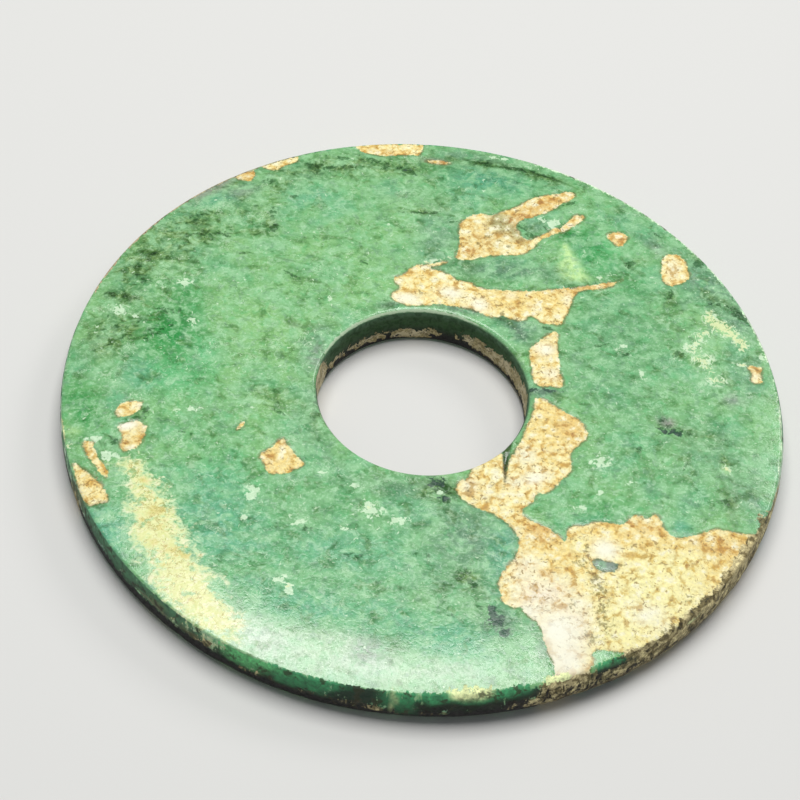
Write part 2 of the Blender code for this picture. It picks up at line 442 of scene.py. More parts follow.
# Tones of the green stone as soft clouds: x, y, half length, half width, turn in degrees, strength
cloudWashes = {
    "leaf": [
        (-21.6, 3.2, 3.4, 2.4, 80, 0.95), (-21.0, 7.0, 2.0, 1.6, 60, 0.7), (-24.2, 3.4, 1.8, 2.4, 0, 0.6),
        (-27.6, -5.6, 1.6, 3.0, 20, 0.8), (-19.4, -1.4, 2.4, 1.2, 10, 0.3), (13.6, 17.6, 1.6, 2.6, 0, 0.7),
        (11.6, 19.6, 1.4, 0.8, 20, 0.8), (15.4, -10.6, 2.4, 1.4, 0, 0.5), (-6.0, -12.5, 3.0, 1.4, -10, 0.3),
        (17.0, 14.0, 2.2, 1.6, 30, 0.4), (-6.5, -26.0, 2.0, 0.6, 0, 0.2),
    ],
    "pine": [
        (16.0, 6.0, 4.5, 7.5, 0, 0.85), (-8.0, -13.0, 6.0, 3.0, 0, 0.3), (21.0, -7.0, 4.0, 2.5, 0, 0.4),
        (20.0, 14.5, 2.6, 1.8, 0, 0.6), (-12.0, 24.0, 5.0, 1.6, 28, 0.7), (6.0, 27.4, 6.0, 0.8, -4, 0.8),
        (-9.0, -7.0, 2.4, 3.0, 40, 0.5), (19.0, 21.0, 3.0, 1.4, -40, 0.5),
    ],
    "mint": [
        (-20.6, -1.0, 2.2, 2.6, 0, 0.7), (14.6, 18.6, 1.8, 2.0, 0, 0.6), (-15.0, -10.5, 5.0, 2.4, -20, 0.3),
        (-18.6, 1.6, 1.6, 2.6, 0, 0.4), (13.0, 15.6, 1.4, 1.0, 0, 0.5), (-23.5, 8.6, 1.6, 1.2, 0, 0.4),
    ],
    "sea": [
        (-24.3, -17.6, 3.6, 2.6, -50, 0.85), (-15.2, -16.8, 3.4, 3.4, 0, 0.7),
        (3.6, 25.2, 4.4, 1.7, 0, 0.85), (-22.3, 12.9, 1.3, 0.9, 0, 0.6), (7.1, -15.3, 1.3, 2.6, 0, 0.75),
        (2.0, -24.0, 6.0, 1.6, 0, 0.6), (-23.8, -2.0, 1.6, 2.0, 0, 0.5), (-8.0, -22.6, 5.0, 1.6, 0, 0.6),
        (21.2, -12.0, 0.9, 1.2, 0, 0.8), (-19.4, 19.6, 1.6, 1.0, 30, 0.6), (13.4, -12.6, 1.8, 1.2, 0, 0.4),
        (-12.6, 21.6, 2.4, 1.4, 0, 0.3), (-4.0, -17.6, 7.0, 3.0, 0, 0.5), (-16.0, -12.0, 3.0, 2.0, 0, 0.45),
    ],
    "spring": [
        (-14.5, 5.5, 4.6, 5.0, 60, 0.7), (-9.0, 14.5, 5.0, 3.0, 0, 0.5), (-12.5, -3.2, 3.4, 1.2, -5, 0.5),
        (-7.5, 9.5, 3.0, 2.0, 0, 0.4), (-17.5, 13.8, 3.0, 1.6, 0, 0.4), (12.5, -1.5, 1.4, 2.0, 0, 0.3),
        (-15.4, 20.6, 0.8, 1.8, 0, 0.4), (-5.4, 17.0, 1.2, 2.6, 20, 0.3),
    ],
    "sage": [
        (4.4, -15.0, 3.4, 3.6, 0, 0.85), (6.0, 14.3, 5.0, 1.0, 5, 0.9), (-9.9, 3.5, 1.0, 2.8, -10, 0.7),
        (-0.2, 18.0, 1.8, 3.4, 0, 0.7), (24.2, 15.2, 3.4, 2.2, -52, 0.85), (7.8, 8.2, 2.4, 0.8, -20, 0.9),
        (-2.0, -10.6, 3.0, 1.0, 0, 0.6), (1.5, 28.4, 2.4, 0.7, 0, 0.7), (26.6, 5.0, 1.6, 3.0, 0, 0.5),
        (18.6, 20.0, 1.8, 1.0, -40, 0.5), (3.5, -20.5, 3.0, 2.0, 0, 0.3), (12.4, 4.4, 0.9, 1.6, 0, 0.5),
        (23.5, -3.5, 3.0, 3.4, 0, 0.35), (-9.4, -4.5, 1.2, 2.6, 30, 0.5), (-4.0, 22.4, 1.6, 1.0, 0, 0.4),
        (26.5, -7.0, 1.4, 2.4, 10, 0.5), (26.2, 11.0, 1.6, 1.0, -50, 0.8), (-27.4, 1.0, 1.2, 1.4, 0, 0.5),
        (-4.6, -16.4, 1.0, 0.8, 0, 0.3),
    ],
    "ash": [
        (2.8, 9.15, 3.0, 0.45, -6, 0.9), (7.4, 7.2, 1.6, 0.7, -45, 0.8), (-3.6, 9.0, 1.6, 0.5, 25, 0.6),
        (9.6, 0.9, 1.4, 0.5, 0, 0.8), (1.4, -10.3, 1.6, 1.0, 0, 0.7), (-8.9, -2.8, 0.7, 1.6, 15, 0.6),
        (7.1, -22.8, 1.5, 1.5, 30, 0.7), (26.8, 12.0, 1.2, 1.0, -55, 0.6), (-20.6, 21.4, 2.4, 0.6, 42, 0.7),
        (8.3, 19.9, 1.1, 0.9, 0, 0.5), (3.6, 27.9, 2.6, 0.4, 0, 0.7), (8.9, -4.0, 0.3, 2.4, -20, 0.6),
    ],
    "lilac": [
        (-9.4, 2.4, 0.7, 1.5, 0, 0.8), (25.5, 2.2, 0.9, 0.7, 0, 0.8), (19.8, -0.9, 0.8, 0.5, -30, 0.8),
        (-2.6, -26.4, 1.4, 1.2, 0, 0.8), (-11.6, 5.4, 0.7, 0.6, 0, 0.5), (-18.0, 20.6, 1.6, 0.9, 30, 0.7),
        (9.8, -22.6, 0.7, 0.8, 0, 0.7), (10.6, -24.6, 0.5, 1.0, 0, 0.6), (19.2, 18.9, 1.0, 0.6, -40, 0.6),
        (4.8, 19.9, 1.4, 0.8, 0, 0.2), (22.4, 15.6, 0.4, 1.2, 0, 0.5), (-7.6, -8.2, 1.4, 0.5, -40, 0.4),
    ],
    "rose": [
        (-1.0, 27.2, 1.3, 0.4, 0, 0.9), (-20.6, 21.1, 2.6, 0.8, 46, 0.95), (25.4, -8.6, 0.5, 1.4, 0, 0.4),
        (27.0, -8.5, 0.6, 0.6, 0, 0.4), (20.1, -1.1, 0.7, 0.5, 0, 0.9),
    ],
    # painted highlight: whitens the near shoulder where the lamp's reflection lies
    "frostHighlight": [
        (-10.4, -26.2, 3.4, 1.5, -20, 0.9), (-3.0, -27.6, 5.0, 1.3, -4, 0.6), (4.0, -27.4, 4.0, 1.0, 6, 0.4),
        (-15.0, -24.4, 2.0, 1.0, -30, 0.5), (-5.0, -25.6, 3.0, 0.8, 0, 0.4),
    ],
    "slate": [
        (15.2, -16.2, 1.3, 0.8, 0, 1.0), (15.2, -16.2, 1.2, 0.7, 0, 1.0), (7.7, -14.4, 0.6, 1.6, 0, 0.4),
    ],
    "dew": [
        (24.6, 3.6, 2.0, 2.0, 30, 0.5), (28.2, -3.0, 0.8, 4.0, 0, 0.6), (-17.0, 3.0, 2.4, 2.0, 0, 0.2),
        (-26.4, 5.2, 1.4, 0.8, -10, 0.6), (-25.4, -9.0, 1.2, 0.9, 0, 0.6), (-3.4, 22.0, 1.6, 1.0, 0, 0.4),
        (-6.0, 21.8, 1.2, 0.7, 0, 0.3), (22.4, 8.4, 1.6, 0.8, 30, 0.5), (23.6, 6.6, 1.6, 0.9, -50, 0.6),
        (4.0, -21.0, 3.0, 1.4, 0, 0.4), (26.0, -4.0, 1.6, 2.4, 0, 0.4), (-4.0, -18.0, 4.0, 2.0, 0, 0.3),
    ],
    "lime": [
        (12.0, 14.5, 1.1, 0.6, 0, 1.0), (11.8, 15.2, 0.95, 0.6, 10, 1.0), (11.5, 16.1, 0.7, 0.7, 10, 1.0),
        (11.2, 17.1, 0.45, 0.7, 10, 1.0), (11.0, 17.9, 0.28, 0.4, 10, 0.9), (11.6, 15.4, 0.9, 1.0, 0, 0.8),
        (24.8, -5.4, 0.35, 0.45, 0, 0.7), (24.8, 10.3, 1.9, 0.9, -35, 0.45), (23.0, 7.0, 1.6, 2.2, 0, 0.25),
        (-27.8, -8.0, 0.8, 0.5, 0, 0.5),
    ],
}
dimSpots = [  # the green stone is darker here, in the same kind of clouds
    (4.0, 26.0, 5.0, 2.0, 0, 0.9), (4.0, 26.6, 6.0, 1.4, 0, 0.7), (-14.0, 14.4, 4.0, 3.0, 0, 0.18),
    (5.0, 14.0, 5.5, 1.2, 5, 1.0), (4.0, 14.6, 3.0, 0.7, 5, 0.7), (-16.0, 1.0, 4.0, 4.0, 0, 0.12),
    (12.0, 19.2, 2.0, 1.0, 20, 0.4), (-25.6, 10.4, 2.6, 2.6, 0, 0.4), (-27.0, 3.0, 1.6, 2.0, 0, 0.3),
    (24.0, 13.4, 2.0, 1.6, 0, 0.5), (17.0, 10.0, 3.0, 2.0, 0, 0.2), (-3.0, -10.4, 3.0, 1.0, 0, 0.8),
    (3.4, -13.4, 3.0, 2.6, 0, 0.35), (-21.6, 4.6, 1.4, 1.4, 0, 0.4), (7.6, 7.6, 2.2, 0.8, -35, 0.5),
    (-20.8, 15.6, 2.4, 1.6, 0, 0.3), (26.0, 12.6, 1.2, 1.2, -50, 0.5), (3.0, 28.0, 4.0, 0.8, 0, 0.5),
    (-8.0, 25.4, 3.0, 1.0, 6, 0.3), (-5.0, 26.3, 2.6, 1.0, 0, 0.8),
]
veins = [  # thin dark lines across the green stone: points, half width, strength
    ([(20.4, 13.6), (20.9, 11.0), (21.0, 8.6), (21.1, 6.6)], 0.25, 0.5),
    ([(18.6, -1.0), (20.6, -2.6), (22.6, -3.4), (24.2, -5.8), (25.2, -8.8), (25.7, -11.8)], 0.3, 0.6),
    ([(13.9, 6.6), (15.0, 7.0), (15.8, 6.2), (16.6, 6.1), (17.2, 6.6)], 0.12, 0.8),
    ([(16.0, 17.2), (16.8, 16.2), (18.0, 15.4)], 0.3, 0.8),
    ([(1.0, 20.3), (-1.4, 20.2), (-3.6, 20.6), (-5.4, 20.2)], 0.16, 0.8),
    ([(-16.4, 14.4), (-13.6, 13.0), (-10.8, 12.6), (-8.0, 11.0)], 0.18, 0.5),
    ([(-25.8, 12.4), (-23.6, 12.1), (-21.6, 12.8), (-20.0, 12.4)], 0.16, 0.6),
    ([(-24.0, 15.6), (-22.0, 15.2), (-20.4, 15.4), (-18.4, 15.0)], 0.16, 0.7),
    ([(1.4, 27.9), (4.0, 27.4), (7.0, 27.3), (9.6, 26.6), (12.0, 25.6)], 0.22, 0.9),
    ([(-11.6, -3.6), (-10.2, -5.0), (-9.4, -7.0)], 0.2, 0.5),
    ([(2.4, -12.2), (4.4, -13.6), (5.0, -16.4), (4.4, -18.6)], 0.2, 0.5),
    ([(22.6, 12.6), (24.6, 12.9), (26.8, 11.6)], 0.2, 0.8),
    ([(12.0, -8.0), (13.6, -9.6), (13.2, -11.6)], 0.2, 0.4),
    ([(-20.0, -3.4), (-18.2, -4.6), (-16.4, -4.4), (-14.6, -5.2)], 0.16, 0.5),
    ([(-8.0, -14.4), (-5.0, -15.2), (-2.6, -14.8)], 0.18, 0.5),
]
mossyClusters = [  # from here on clouds again, each kind with a finish of its own
    (-24.6, 9.4, 2.6, 5.0, 10, 0.45), (-26.2, 2.6, 2.2, 3.0, 0, 0.4), (-21.6, 15.4, 3.2, 2.0, 20, 0.5),
    (-7.0, 25.4, 6.0, 1.4, 6, 0.5), (-23.6, 12.6, 3.4, 3.0, 0, 0.55), (-18.0, 18.6, 3.4, 2.0, 30, 0.45),
    (-25.7, 10.6, 2.4, 1.3, 72, 0.7), (-26.4, 6.9, 1.6, 0.8, 0, 0.8), (-25.9, 2.8, 1.8, 1.2, -10, 1.0),
    (-21.3, 16.7, 1.4, 1.2, 0, 0.5), (-20.6, 14.8, 2.2, 0.8, 0, 0.6), (-24.3, 12.7, 1.4, 0.9, 0, 0.9),
    (-23.6, 15.4, 1.4, 1.2, 50, 0.8), (-15.0, 17.6, 0.7, 2.0, 10, 0.8), (-14.2, 22.8, 2.6, 1.2, 30, 0.6),
    (-11.8, 24.7, 0.9, 0.8, 0, 1.0), (-8.2, 25.7, 3.2, 1.0, 6, 1.0), (-3.7, 25.8, 1.2, 0.7, 0, 1.0),
    (3.5, 27.5, 2.6, 0.5, 0, 1.0), (8.4, 26.8, 2.4, 0.5, -14, 0.9), (21.1, 6.6, 0.6, 0.5, 0, 1.0),
    (-12.0, -2.8, 2.2, 1.0, -10, 0.6), (1.8, -10.6, 1.6, 1.2, 0, 0.9), (4.6, -18.6, 1.1, 0.8, 0, 0.9),
    (-2.4, 20.4, 2.6, 0.4, 6, 0.8), (20.3, 13.2, 0.7, 0.8, 0, 0.9), (16.8, 16.4, 0.9, 1.0, 0, 0.6),
    (23.4, -2.0, 2.0, 0.8, 0, 0.5), (24.8, -4.6, 1.1, 0.6, -60, 0.7), (25.2, -9.2, 0.5, 1.4, 0, 0.7),
    (-18.6, 21.6, 1.2, 0.6, 30, 0.7), (24.6, 13.6, 1.8, 0.6, -30, 0.6), (-26.6, 0.8, 1.6, 0.8, 0, 0.6),
    (-8.6, -4.8, 0.8, 1.6, 30, 0.6), (-16.0, 15.8, 1.4, 0.6, 0, 0.5), (22.4, 18.8, 1.2, 0.6, -50, 0.6),
]
darkClots = [
    (-22.6, 5.6, 0.9, 0.5, 0, 0.6), (-22.8, 3.2, 0.9, 0.5, 20, 0.6), (-23.5, 2.4, 0.4, 0.5, 30, 0.54),
    (-21.2, 5.4, 0.3, 0.6, 0, 0.48), (-21.8, 4.0, 0.3, 0.3, 0, 0.42), (-21.4, 16.9, 1.0, 0.9, 0, 0.6),
    (-20.3, 15.0, 0.9, 0.5, 0, 0.6), (-18.8, 15.2, 0.8, 0.35, -10, 0.6), (-22.0, 14.6, 0.7, 0.4, 0, 0.48),
    (-24.9, 12.0, 0.9, 0.4, 0, 0.6), (-23.0, 15.2, 0.8, 0.3, 40, 0.48), (-25.7, 10.6, 1.1, 0.4, 0, 0.6),
    (-25.0, 9.4, 0.9, 0.35, 0, 0.54), (-24.6, 8.7, 0.7, 0.3, 0, 0.48), (-26.9, 7.0, 1.2, 0.35, 0, 0.6),
    (-25.5, 6.8, 0.8, 0.3, 0, 0.48), (-26.4, 3.1, 1.1, 0.4, 10, 0.6), (-25.4, 2.2, 0.9, 0.35, 0, 0.54),
    (-24.3, 3.9, 0.5, 0.4, 0, 0.48), (-27.2, 4.3, 0.6, 0.3, 0, 0.48), (-26.4, 1.1, 0.9, 0.3, 0, 0.42),
    (-14.5, 16.5, 0.4, 0.5, 0, 1.0), (-14.9, 18.6, 0.4, 0.8, 0, 0.7), (-11.9, 24.7, 0.8, 0.75, 0, 1.0),
    (-13.2, 20.7, 0.35, 0.2, 0, 0.8), (-16.3, 19.1, 0.35, 0.25, 0, 0.7), (-15.6, 22.4, 0.7, 0.4, 0, 0.6),
    (-5.5, 25.7, 0.4, 0.5, 0, 1.0), (-3.5, 25.5, 1.0, 0.6, -10, 1.0), (-8.6, 25.3, 0.9, 0.4, 0, 0.8),
    (-6.8, 26.4, 0.9, 0.35, 0, 0.9), (-10.4, 24.9, 0.6, 0.3, 0, 0.9), (-9.6, 26.4, 0.7, 0.3, 0, 0.7),
    (3.4, 27.5, 1.3, 0.3, 0, 0.9), (6.3, 27.3, 1.3, 0.3, -5, 0.9), (8.9, 26.9, 1.0, 0.25, -12, 0.8),
    (11.2, 23.4, 0.7, 0.25, 30, 1.0), (7.1, 20.1, 0.35, 0.6, 0, 1.0), (7.9, 18.9, 0.8, 0.4, -20, 1.0),
    (9.1, 19.9, 0.5, 0.3, 0, 0.6), (16.8, 16.6, 0.5, 0.6, 0, 0.9), (20.3, 13.4, 0.3, 0.6, 0, 0.9),
    (19.2, 20.7, 0.5, 0.2, -40, 0.8), (22.9, 17.9, 0.5, 0.7, -50, 1.0), (24.4, 13.0, 1.2, 0.2, 0, 0.9),
    (26.5, 12.1, 1.0, 0.3, -55, 1.0), (21.1, 6.6, 0.45, 0.45, 0, 1.0), (16.6, 6.0, 0.4, 0.2, 40, 1.0),
    (14.4, 6.7, 0.9, 0.15, 20, 0.7), (17.7, -4.2, 0.25, 0.4, -30, 1.0), (20.6, -1.95, 1.5, 0.4, -4, 1.0),
    (19.6, -0.9, 0.4, 0.35, 0, 0.9), (20.2, -1.4, 0.35, 0.3, 0, 0.9), (26.7, 11.9, 1.1, 0.6, -45, 1.0),
    (24.6, -8.7, 0.45, 0.35, 0, 1.0), (2.2, -10.2, 0.7, 0.8, 0, 1.0), (2.4, -11.4, 0.4, 0.4, 0, 1.0),
    (4.3, -18.3, 0.6, 0.4, 0, 0.9), (5.0, -19.3, 0.6, 0.3, -20, 0.9), (5.6, -21.3, 0.6, 0.2, -30, 0.8),
    (3.6, -22.4, 0.35, 0.15, 0, 0.8), (-24.3, -9.1, 0.45, 0.3, 0, 1.0), (-23.0, -6.35, 1.0, 0.2, 15, 1.0),
    (-22.4, -5.3, 0.35, 0.4, 0, 0.9), (-15.3, -12.9, 0.2, 0.3, 0, 0.9), (-11.6, -4.2, 0.9, 0.2, -30, 0.7),
    (-24.9, -8.6, 0.3, 0.2, 0, 0.8), (-16.8, 13.2, 0.8, 0.25, 0, 0.5), (-12.4, 11.2, 1.2, 0.2, -25, 0.6),
    (-1.8, 20.3, 2.0, 0.2, 6, 0.8), (1.0, 19.6, 0.5, 0.2, 0, 0.9), (-6.4, 13.6, 0.9, 0.3, -35, 0.5),
    (21.6, -5.6, 1.4, 0.3, 60, 0.4), (-8.4, -15.6, 1.4, 0.3, 0, 0.5), (-4.4, -17.8, 1.2, 0.3, 10, 0.5),
    (0.8, -17.0, 1.0, 0.3, 0, 0.5), (-19.0, -7.4, 1.0, 0.3, 0, 0.4), (12.2, -14.1, 0.2, 0.5, 0, 0.9),
    (9.9, 8.1, 0.6, 0.2, 0, 0.8),
]
smokyClots = [
    (6.6, -21.5, 0.35, 0.5, 0, 0.9), (6.9, -22.5, 0.7, 0.7, 0, 1.0), (7.7, -23.6, 0.5, 0.5, 0, 1.0),
    (8.8, 1.0, 0.5, 0.35, 0, 1.0), (20.0, -2.0, 0.7, 0.28, 0, 1.0), (21.0, -2.1, 0.7, 0.26, -8, 1.0),
    (10.4, 1.1, 1.1, 0.25, 0, 1.0), (1.5, -9.7, 0.8, 0.6, 0, 0.9), (2.1, -11.2, 0.5, 0.4, 0, 0.9),
    (-3.5, 25.5, 0.5, 0.3, 0, 0.6), (5.9, 8.6, 0.5, 0.3, 0, 0.7),
]
paleClots = [  # pale flecks run together here
    (-3.3, -13.2, 0.9, 0.7, -20, 1.0), (-1.2, -14.0, 1.2, 0.35, 8, 0.9), (-21.3, 9.1, 0.55, 0.55, 0, 1.0),
    (-20.0, 4.6, 0.4, 0.4, 0, 1.0), (14.6, -5.9, 0.8, 0.6, 30, 1.0), (-26.3, 5.2, 0.9, 0.5, -10, 0.9),
    (-9.8, -20.7, 0.8, 0.3, 20, 1.0), (-8.9, -21.5, 0.35, 0.5, 0, 1.0), (-12.8, -12.6, 0.6, 0.9, 0, 0.8),
    (2.0, -10.8, 0.3, 0.25, 0, 1.0), (22.4, 7.9, 1.2, 0.4, 30, 0.7), (8.9, 20.9, 0.6, 0.3, -20, 0.8),
    (9.0, 18.9, 0.5, 0.2, 50, 1.0), (10.0, 20.6, 0.5, 0.5, 0, 1.0), (-5.2, -15.2, 0.4, 0.3, 0, 0.8),
    (-9.0, -15.1, 0.7, 0.25, 30, 0.9), (17.9, 3.9, 0.25, 0.6, 30, 0.7), (14.5, -9.2, 0.5, 0.3, 40, 0.7),
    (13.0, -10.8, 0.6, 0.3, 0, 0.6), (-18.6, -4.8, 0.8, 0.25, 0, 0.8), (-13.2, -15.2, 0.25, 0.35, 0, 0.9),
    (-27.7, 3.4, 0.35, 0.15, 40, 1.0), (-24.8, 4.5, 0.4, 0.15, -30, 0.8), (-8.8, 8.9, 0.3, 0.4, 0, 0.6),
    (-26.0, -8.9, 0.8, 0.5, 0, 0.7), (-24.6, -10.4, 0.9, 0.5, 0, 0.8), (-19.9, -5.0, 0.5, 0.2, -20, 0.7),
    (4.9, 28.6, 1.4, 0.3, 0, 0.5), (-7.6, -9.9, 0.3, 0.25, 0, 0.9), (9.8, 20.2, 0.4, 0.5, 0, 0.7),
    (12.9, 17.2, 0.5, 0.8, 0, 0.3), (-22.8, 8.3, 0.8, 0.2, 0, 0.5), (16.2, 6.8, 0.9, 0.3, 30, 0.5),
    (21.0, 6.0, 0.5, 0.2, 0, 0.5), (-16.4, 10.2, 0.5, 0.3, 0, 0.4), (-5.0, -11.0, 1.2, 0.3, -15, 0.5),
    (17.0, -7.8, 0.6, 0.4, 0, 0.4), (28.3, 7.4, 0.4, 0.5, 0, 0.6),
]
creamClots = [  # the broken pale vein on the right, and like spots
    (23.7, 11.9, 0.4, 0.4, 0, 0.9), (23.8, 11.0, 0.8, 0.5, -60, 1.0), (24.7, 10.4, 1.1, 0.8, -30, 1.0),
    (25.5, 9.8, 1.0, 0.6, -35, 1.0), (26.3, 9.1, 0.8, 0.6, -45, 1.0), (26.5, 8.3, 0.5, 0.6, 0, 0.9),
    (24.9, -5.4, 0.4, 0.45, 0, 1.0), (26.6, 6.3, 0.9, 0.14, 0, 1.0), (23.1, 9.25, 1.0, 0.5, 20, 0.75),
    (22.4, 8.1, 0.8, 0.45, 30, 0.7), (22.1, 7.4, 0.7, 0.4, 10, 0.7), (-28.0, -9.6, 0.3, 0.3, 0, 1.0),
    (-3.5, -12.9, 0.5, 0.4, 0, 0.6), (-9.1, -21.3, 0.4, 0.3, 0, 1.0), (0.6, 14.9, 0.9, 0.2, 25, 1.0),
    (-0.9, 14.3, 0.6, 0.18, 30, 1.0), (14.4, 14.7, 0.6, 0.2, 20, 0.7),
    (23.0, 6.4, 1.0, 0.7, 0, 0.65), (23.6, 5.1, 1.1, 0.7, -40, 0.65), (24.2, 4.0, 0.9, 0.5, 0, 0.6),
]
# Tones of the altered stone, as clouds
patchWashes = {
    "butter": [
        (19.0, -18.4, 4.6, 3.4, 20, 1.0), (16.4, -22.4, 3.0, 2.0, 20, 0.9), (21.0, -15.0, 2.4, 1.6, 0, 0.6),
        (13.0, -14.6, 1.0, 1.0, 0, 0.6),
    ],
    "golden": [
        (9.0, 11.2, 3.0, 1.6, 0, 0.8), (19.0, -13.4, 4.0, 1.0, 0, 0.8), (20.8, 16.6, 1.6, 2.2, 0, 0.3),
        (-1.6, 12.6, 1.6, 1.4, 0, 0.2), (10.4, -3.0, 2.4, 3.0, 0, 0.8), (5.4, 10.8, 2.4, 1.2, 0, 0.7),
        (10.0, 4.6, 1.4, 3.0, 0, 0.4), (-24.4, -5.4, 1.0, 1.0, 0, 0.2), (-11.2, -9.0, 2.0, 2.0, 0, 0.6),
        (11.6, -15.4, 1.4, 1.6, 0, 0.7), (24.4, -15.0, 1.6, 2.4, -40, 0.7),
        (-25.6, -13.6, 1.4, 1.6, 0, 0.25),
    ],
    "amber": [
        (10.2, -13.6, 1.6, 1.2, 0, 0.9), (18.4, -12.2, 1.4, 0.8, 0, 0.55), (24.6, -13.2, 3.0, 1.0, -6, 0.8),
        (11.8, -2.6, 1.4, 1.6, 0, 0.8), (-12.0, -9.2, 1.0, 1.0, 0, 0.6),
        (15.8, 19.8, 0.9, 0.9, 0, 1.0), (9.0, 22.9, 2.8, 0.7, 38, 1.0), (11.2, 21.0, 1.6, 0.8, 50, 0.6),
        (-2.2, 13.2, 0.8, 0.8, 0, 0.3), (2.6, 16.2, 1.0, 0.7, 0, 0.7), (12.6, 13.2, 3.0, 0.5, 15, 0.8),
        (-26.2, -10.0, 0.8, 0.8, 0, 0.2), (27.6, 6.0, 0.6, 0.4, 0, 0.8),
        (-5.4, 27.8, 2.0, 0.5, 0, 0.5), (-17.8, 23.2, 1.0, 1.0, 0, 0.7), (7.2, 21.2, 1.0, 1.0, 30, 0.8),
    ],
    "cocoa": [
        (4.4, 18.2, 2.6, 2.0, 0, 0.4), (6.4, 20.4, 1.2, 0.8, 30, 0.7), (-23.3, -9.0, 0.8, 0.9, 0, 0.3),
        (-22.4, -7.2, 0.5, 0.8, 0, 0.6), (5.4, -10.2, 1.6, 1.0, 0, 0.3),
    ],
    "misty": [
        (5.3, 19.7, 0.9, 0.8, 0, 1.0), (5.2, 20.2, 0.7, 1.0, -50, 1.0), (6.6, 18.9, 1.3, 0.5, -50, 0.8),
        (4.7, 21.0, 0.5, 0.5, 0, 0.9),
    ],
    "blush": [
        (10.4, -19.6, 2.2, 1.6, 20, 0.9), (12.4, -24.2, 1.6, 3.0, 0, 0.6), (9.0, -17.6, 1.2, 1.6, 0, 0.5),
        (13.4, -22.0, 1.4, 2.0, 0, 0.7),
    ],
    "ivory": [
        (15.2, -14.7, 1.0, 1.0, 0, 1.0), (9.4, -8.2, 1.2, 0.7, 30, 0.9), (7.8, -9.0, 0.7, 0.6, 0, 0.7),
        (9.6, -21.6, 0.8, 0.9, 0, 0.9), (12.0, -22.4, 1.0, 1.0, 0, 0.9), (11.6, -25.4, 0.8, 1.4, 0, 0.6),
        (8.6, -6.0, 0.9, 1.0, 0, 0.8), (18.6, -20.4, 1.6, 1.0, 30, 0.7),
        (-23.7, -7.2, 0.9, 0.45, 25, 1.0), (-2.3, 9.9, 1.1, 0.5, 0, 0.9), (1.4, 11.0, 1.1, 0.7, 0, 0.9),
        (3.9, 10.0, 0.9, 0.9, -30, 1.0), (6.5, 11.4, 0.6, 0.5, 0, 0.8), (8.6, 10.4, 0.7, 0.4, 0, 0.7),
        (9.7, 5.6, 0.9, 0.8, 0, 0.9), (10.3, 3.0, 0.8, 0.7, 0, 0.8), (-22.9, -5.0, 0.4, 0.3, 0, 0.8),
        (4.2, -9.8, 0.6, 0.8, 0, 0.9), (17.4, -19.6, 1.4, 0.8, 10, 0.7), (9.4, -16.6, 0.7, 0.4, 0, 0.8),
        (20.6, 16.6, 0.6, 1.2, 0, 0.8), (-11.0, -7.8, 0.3, 0.6, 0, 0.5), (27.6, 5.2, 0.3, 0.5, 0, 0.7),
        (11.4, 11.6, 0.4, 0.9, 0, 0.7), (19.8, -21.2, 1.0, 0.6, 40, 0.6), (9.2, -12.0, 0.6, 0.3, 0, 0.6),
    ],
}
bleachedSpots = [
    (11.6, -22.8, 1.7, 1.7, 0, 0.95), (12.5, -25.4, 1.4, 1.6, 0, 0.8), (15.2, -14.7, 0.8, 0.7, 0, 0.7),
    (9.4, -21.2, 0.9, 0.6, 0, 0.5), (18.6, -20.4, 1.2, 0.7, 30, 0.5), (-23.7, -7.2, 0.7, 0.35, 25, 0.9),
    (9.4, -8.4, 0.6, 0.4, 30, 0.6), (9.8, 5.6, 0.5, 0.5, 0, 0.6), (1.4, 11.0, 0.7, 0.4, 0, 0.5),
    (-2.4, 9.9, 0.9, 0.4, 0, 0.5), (3.9, 10.0, 0.5, 0.5, 0, 0.5), (13.4, -20.0, 0.7, 0.5, 0, 0.4),
]
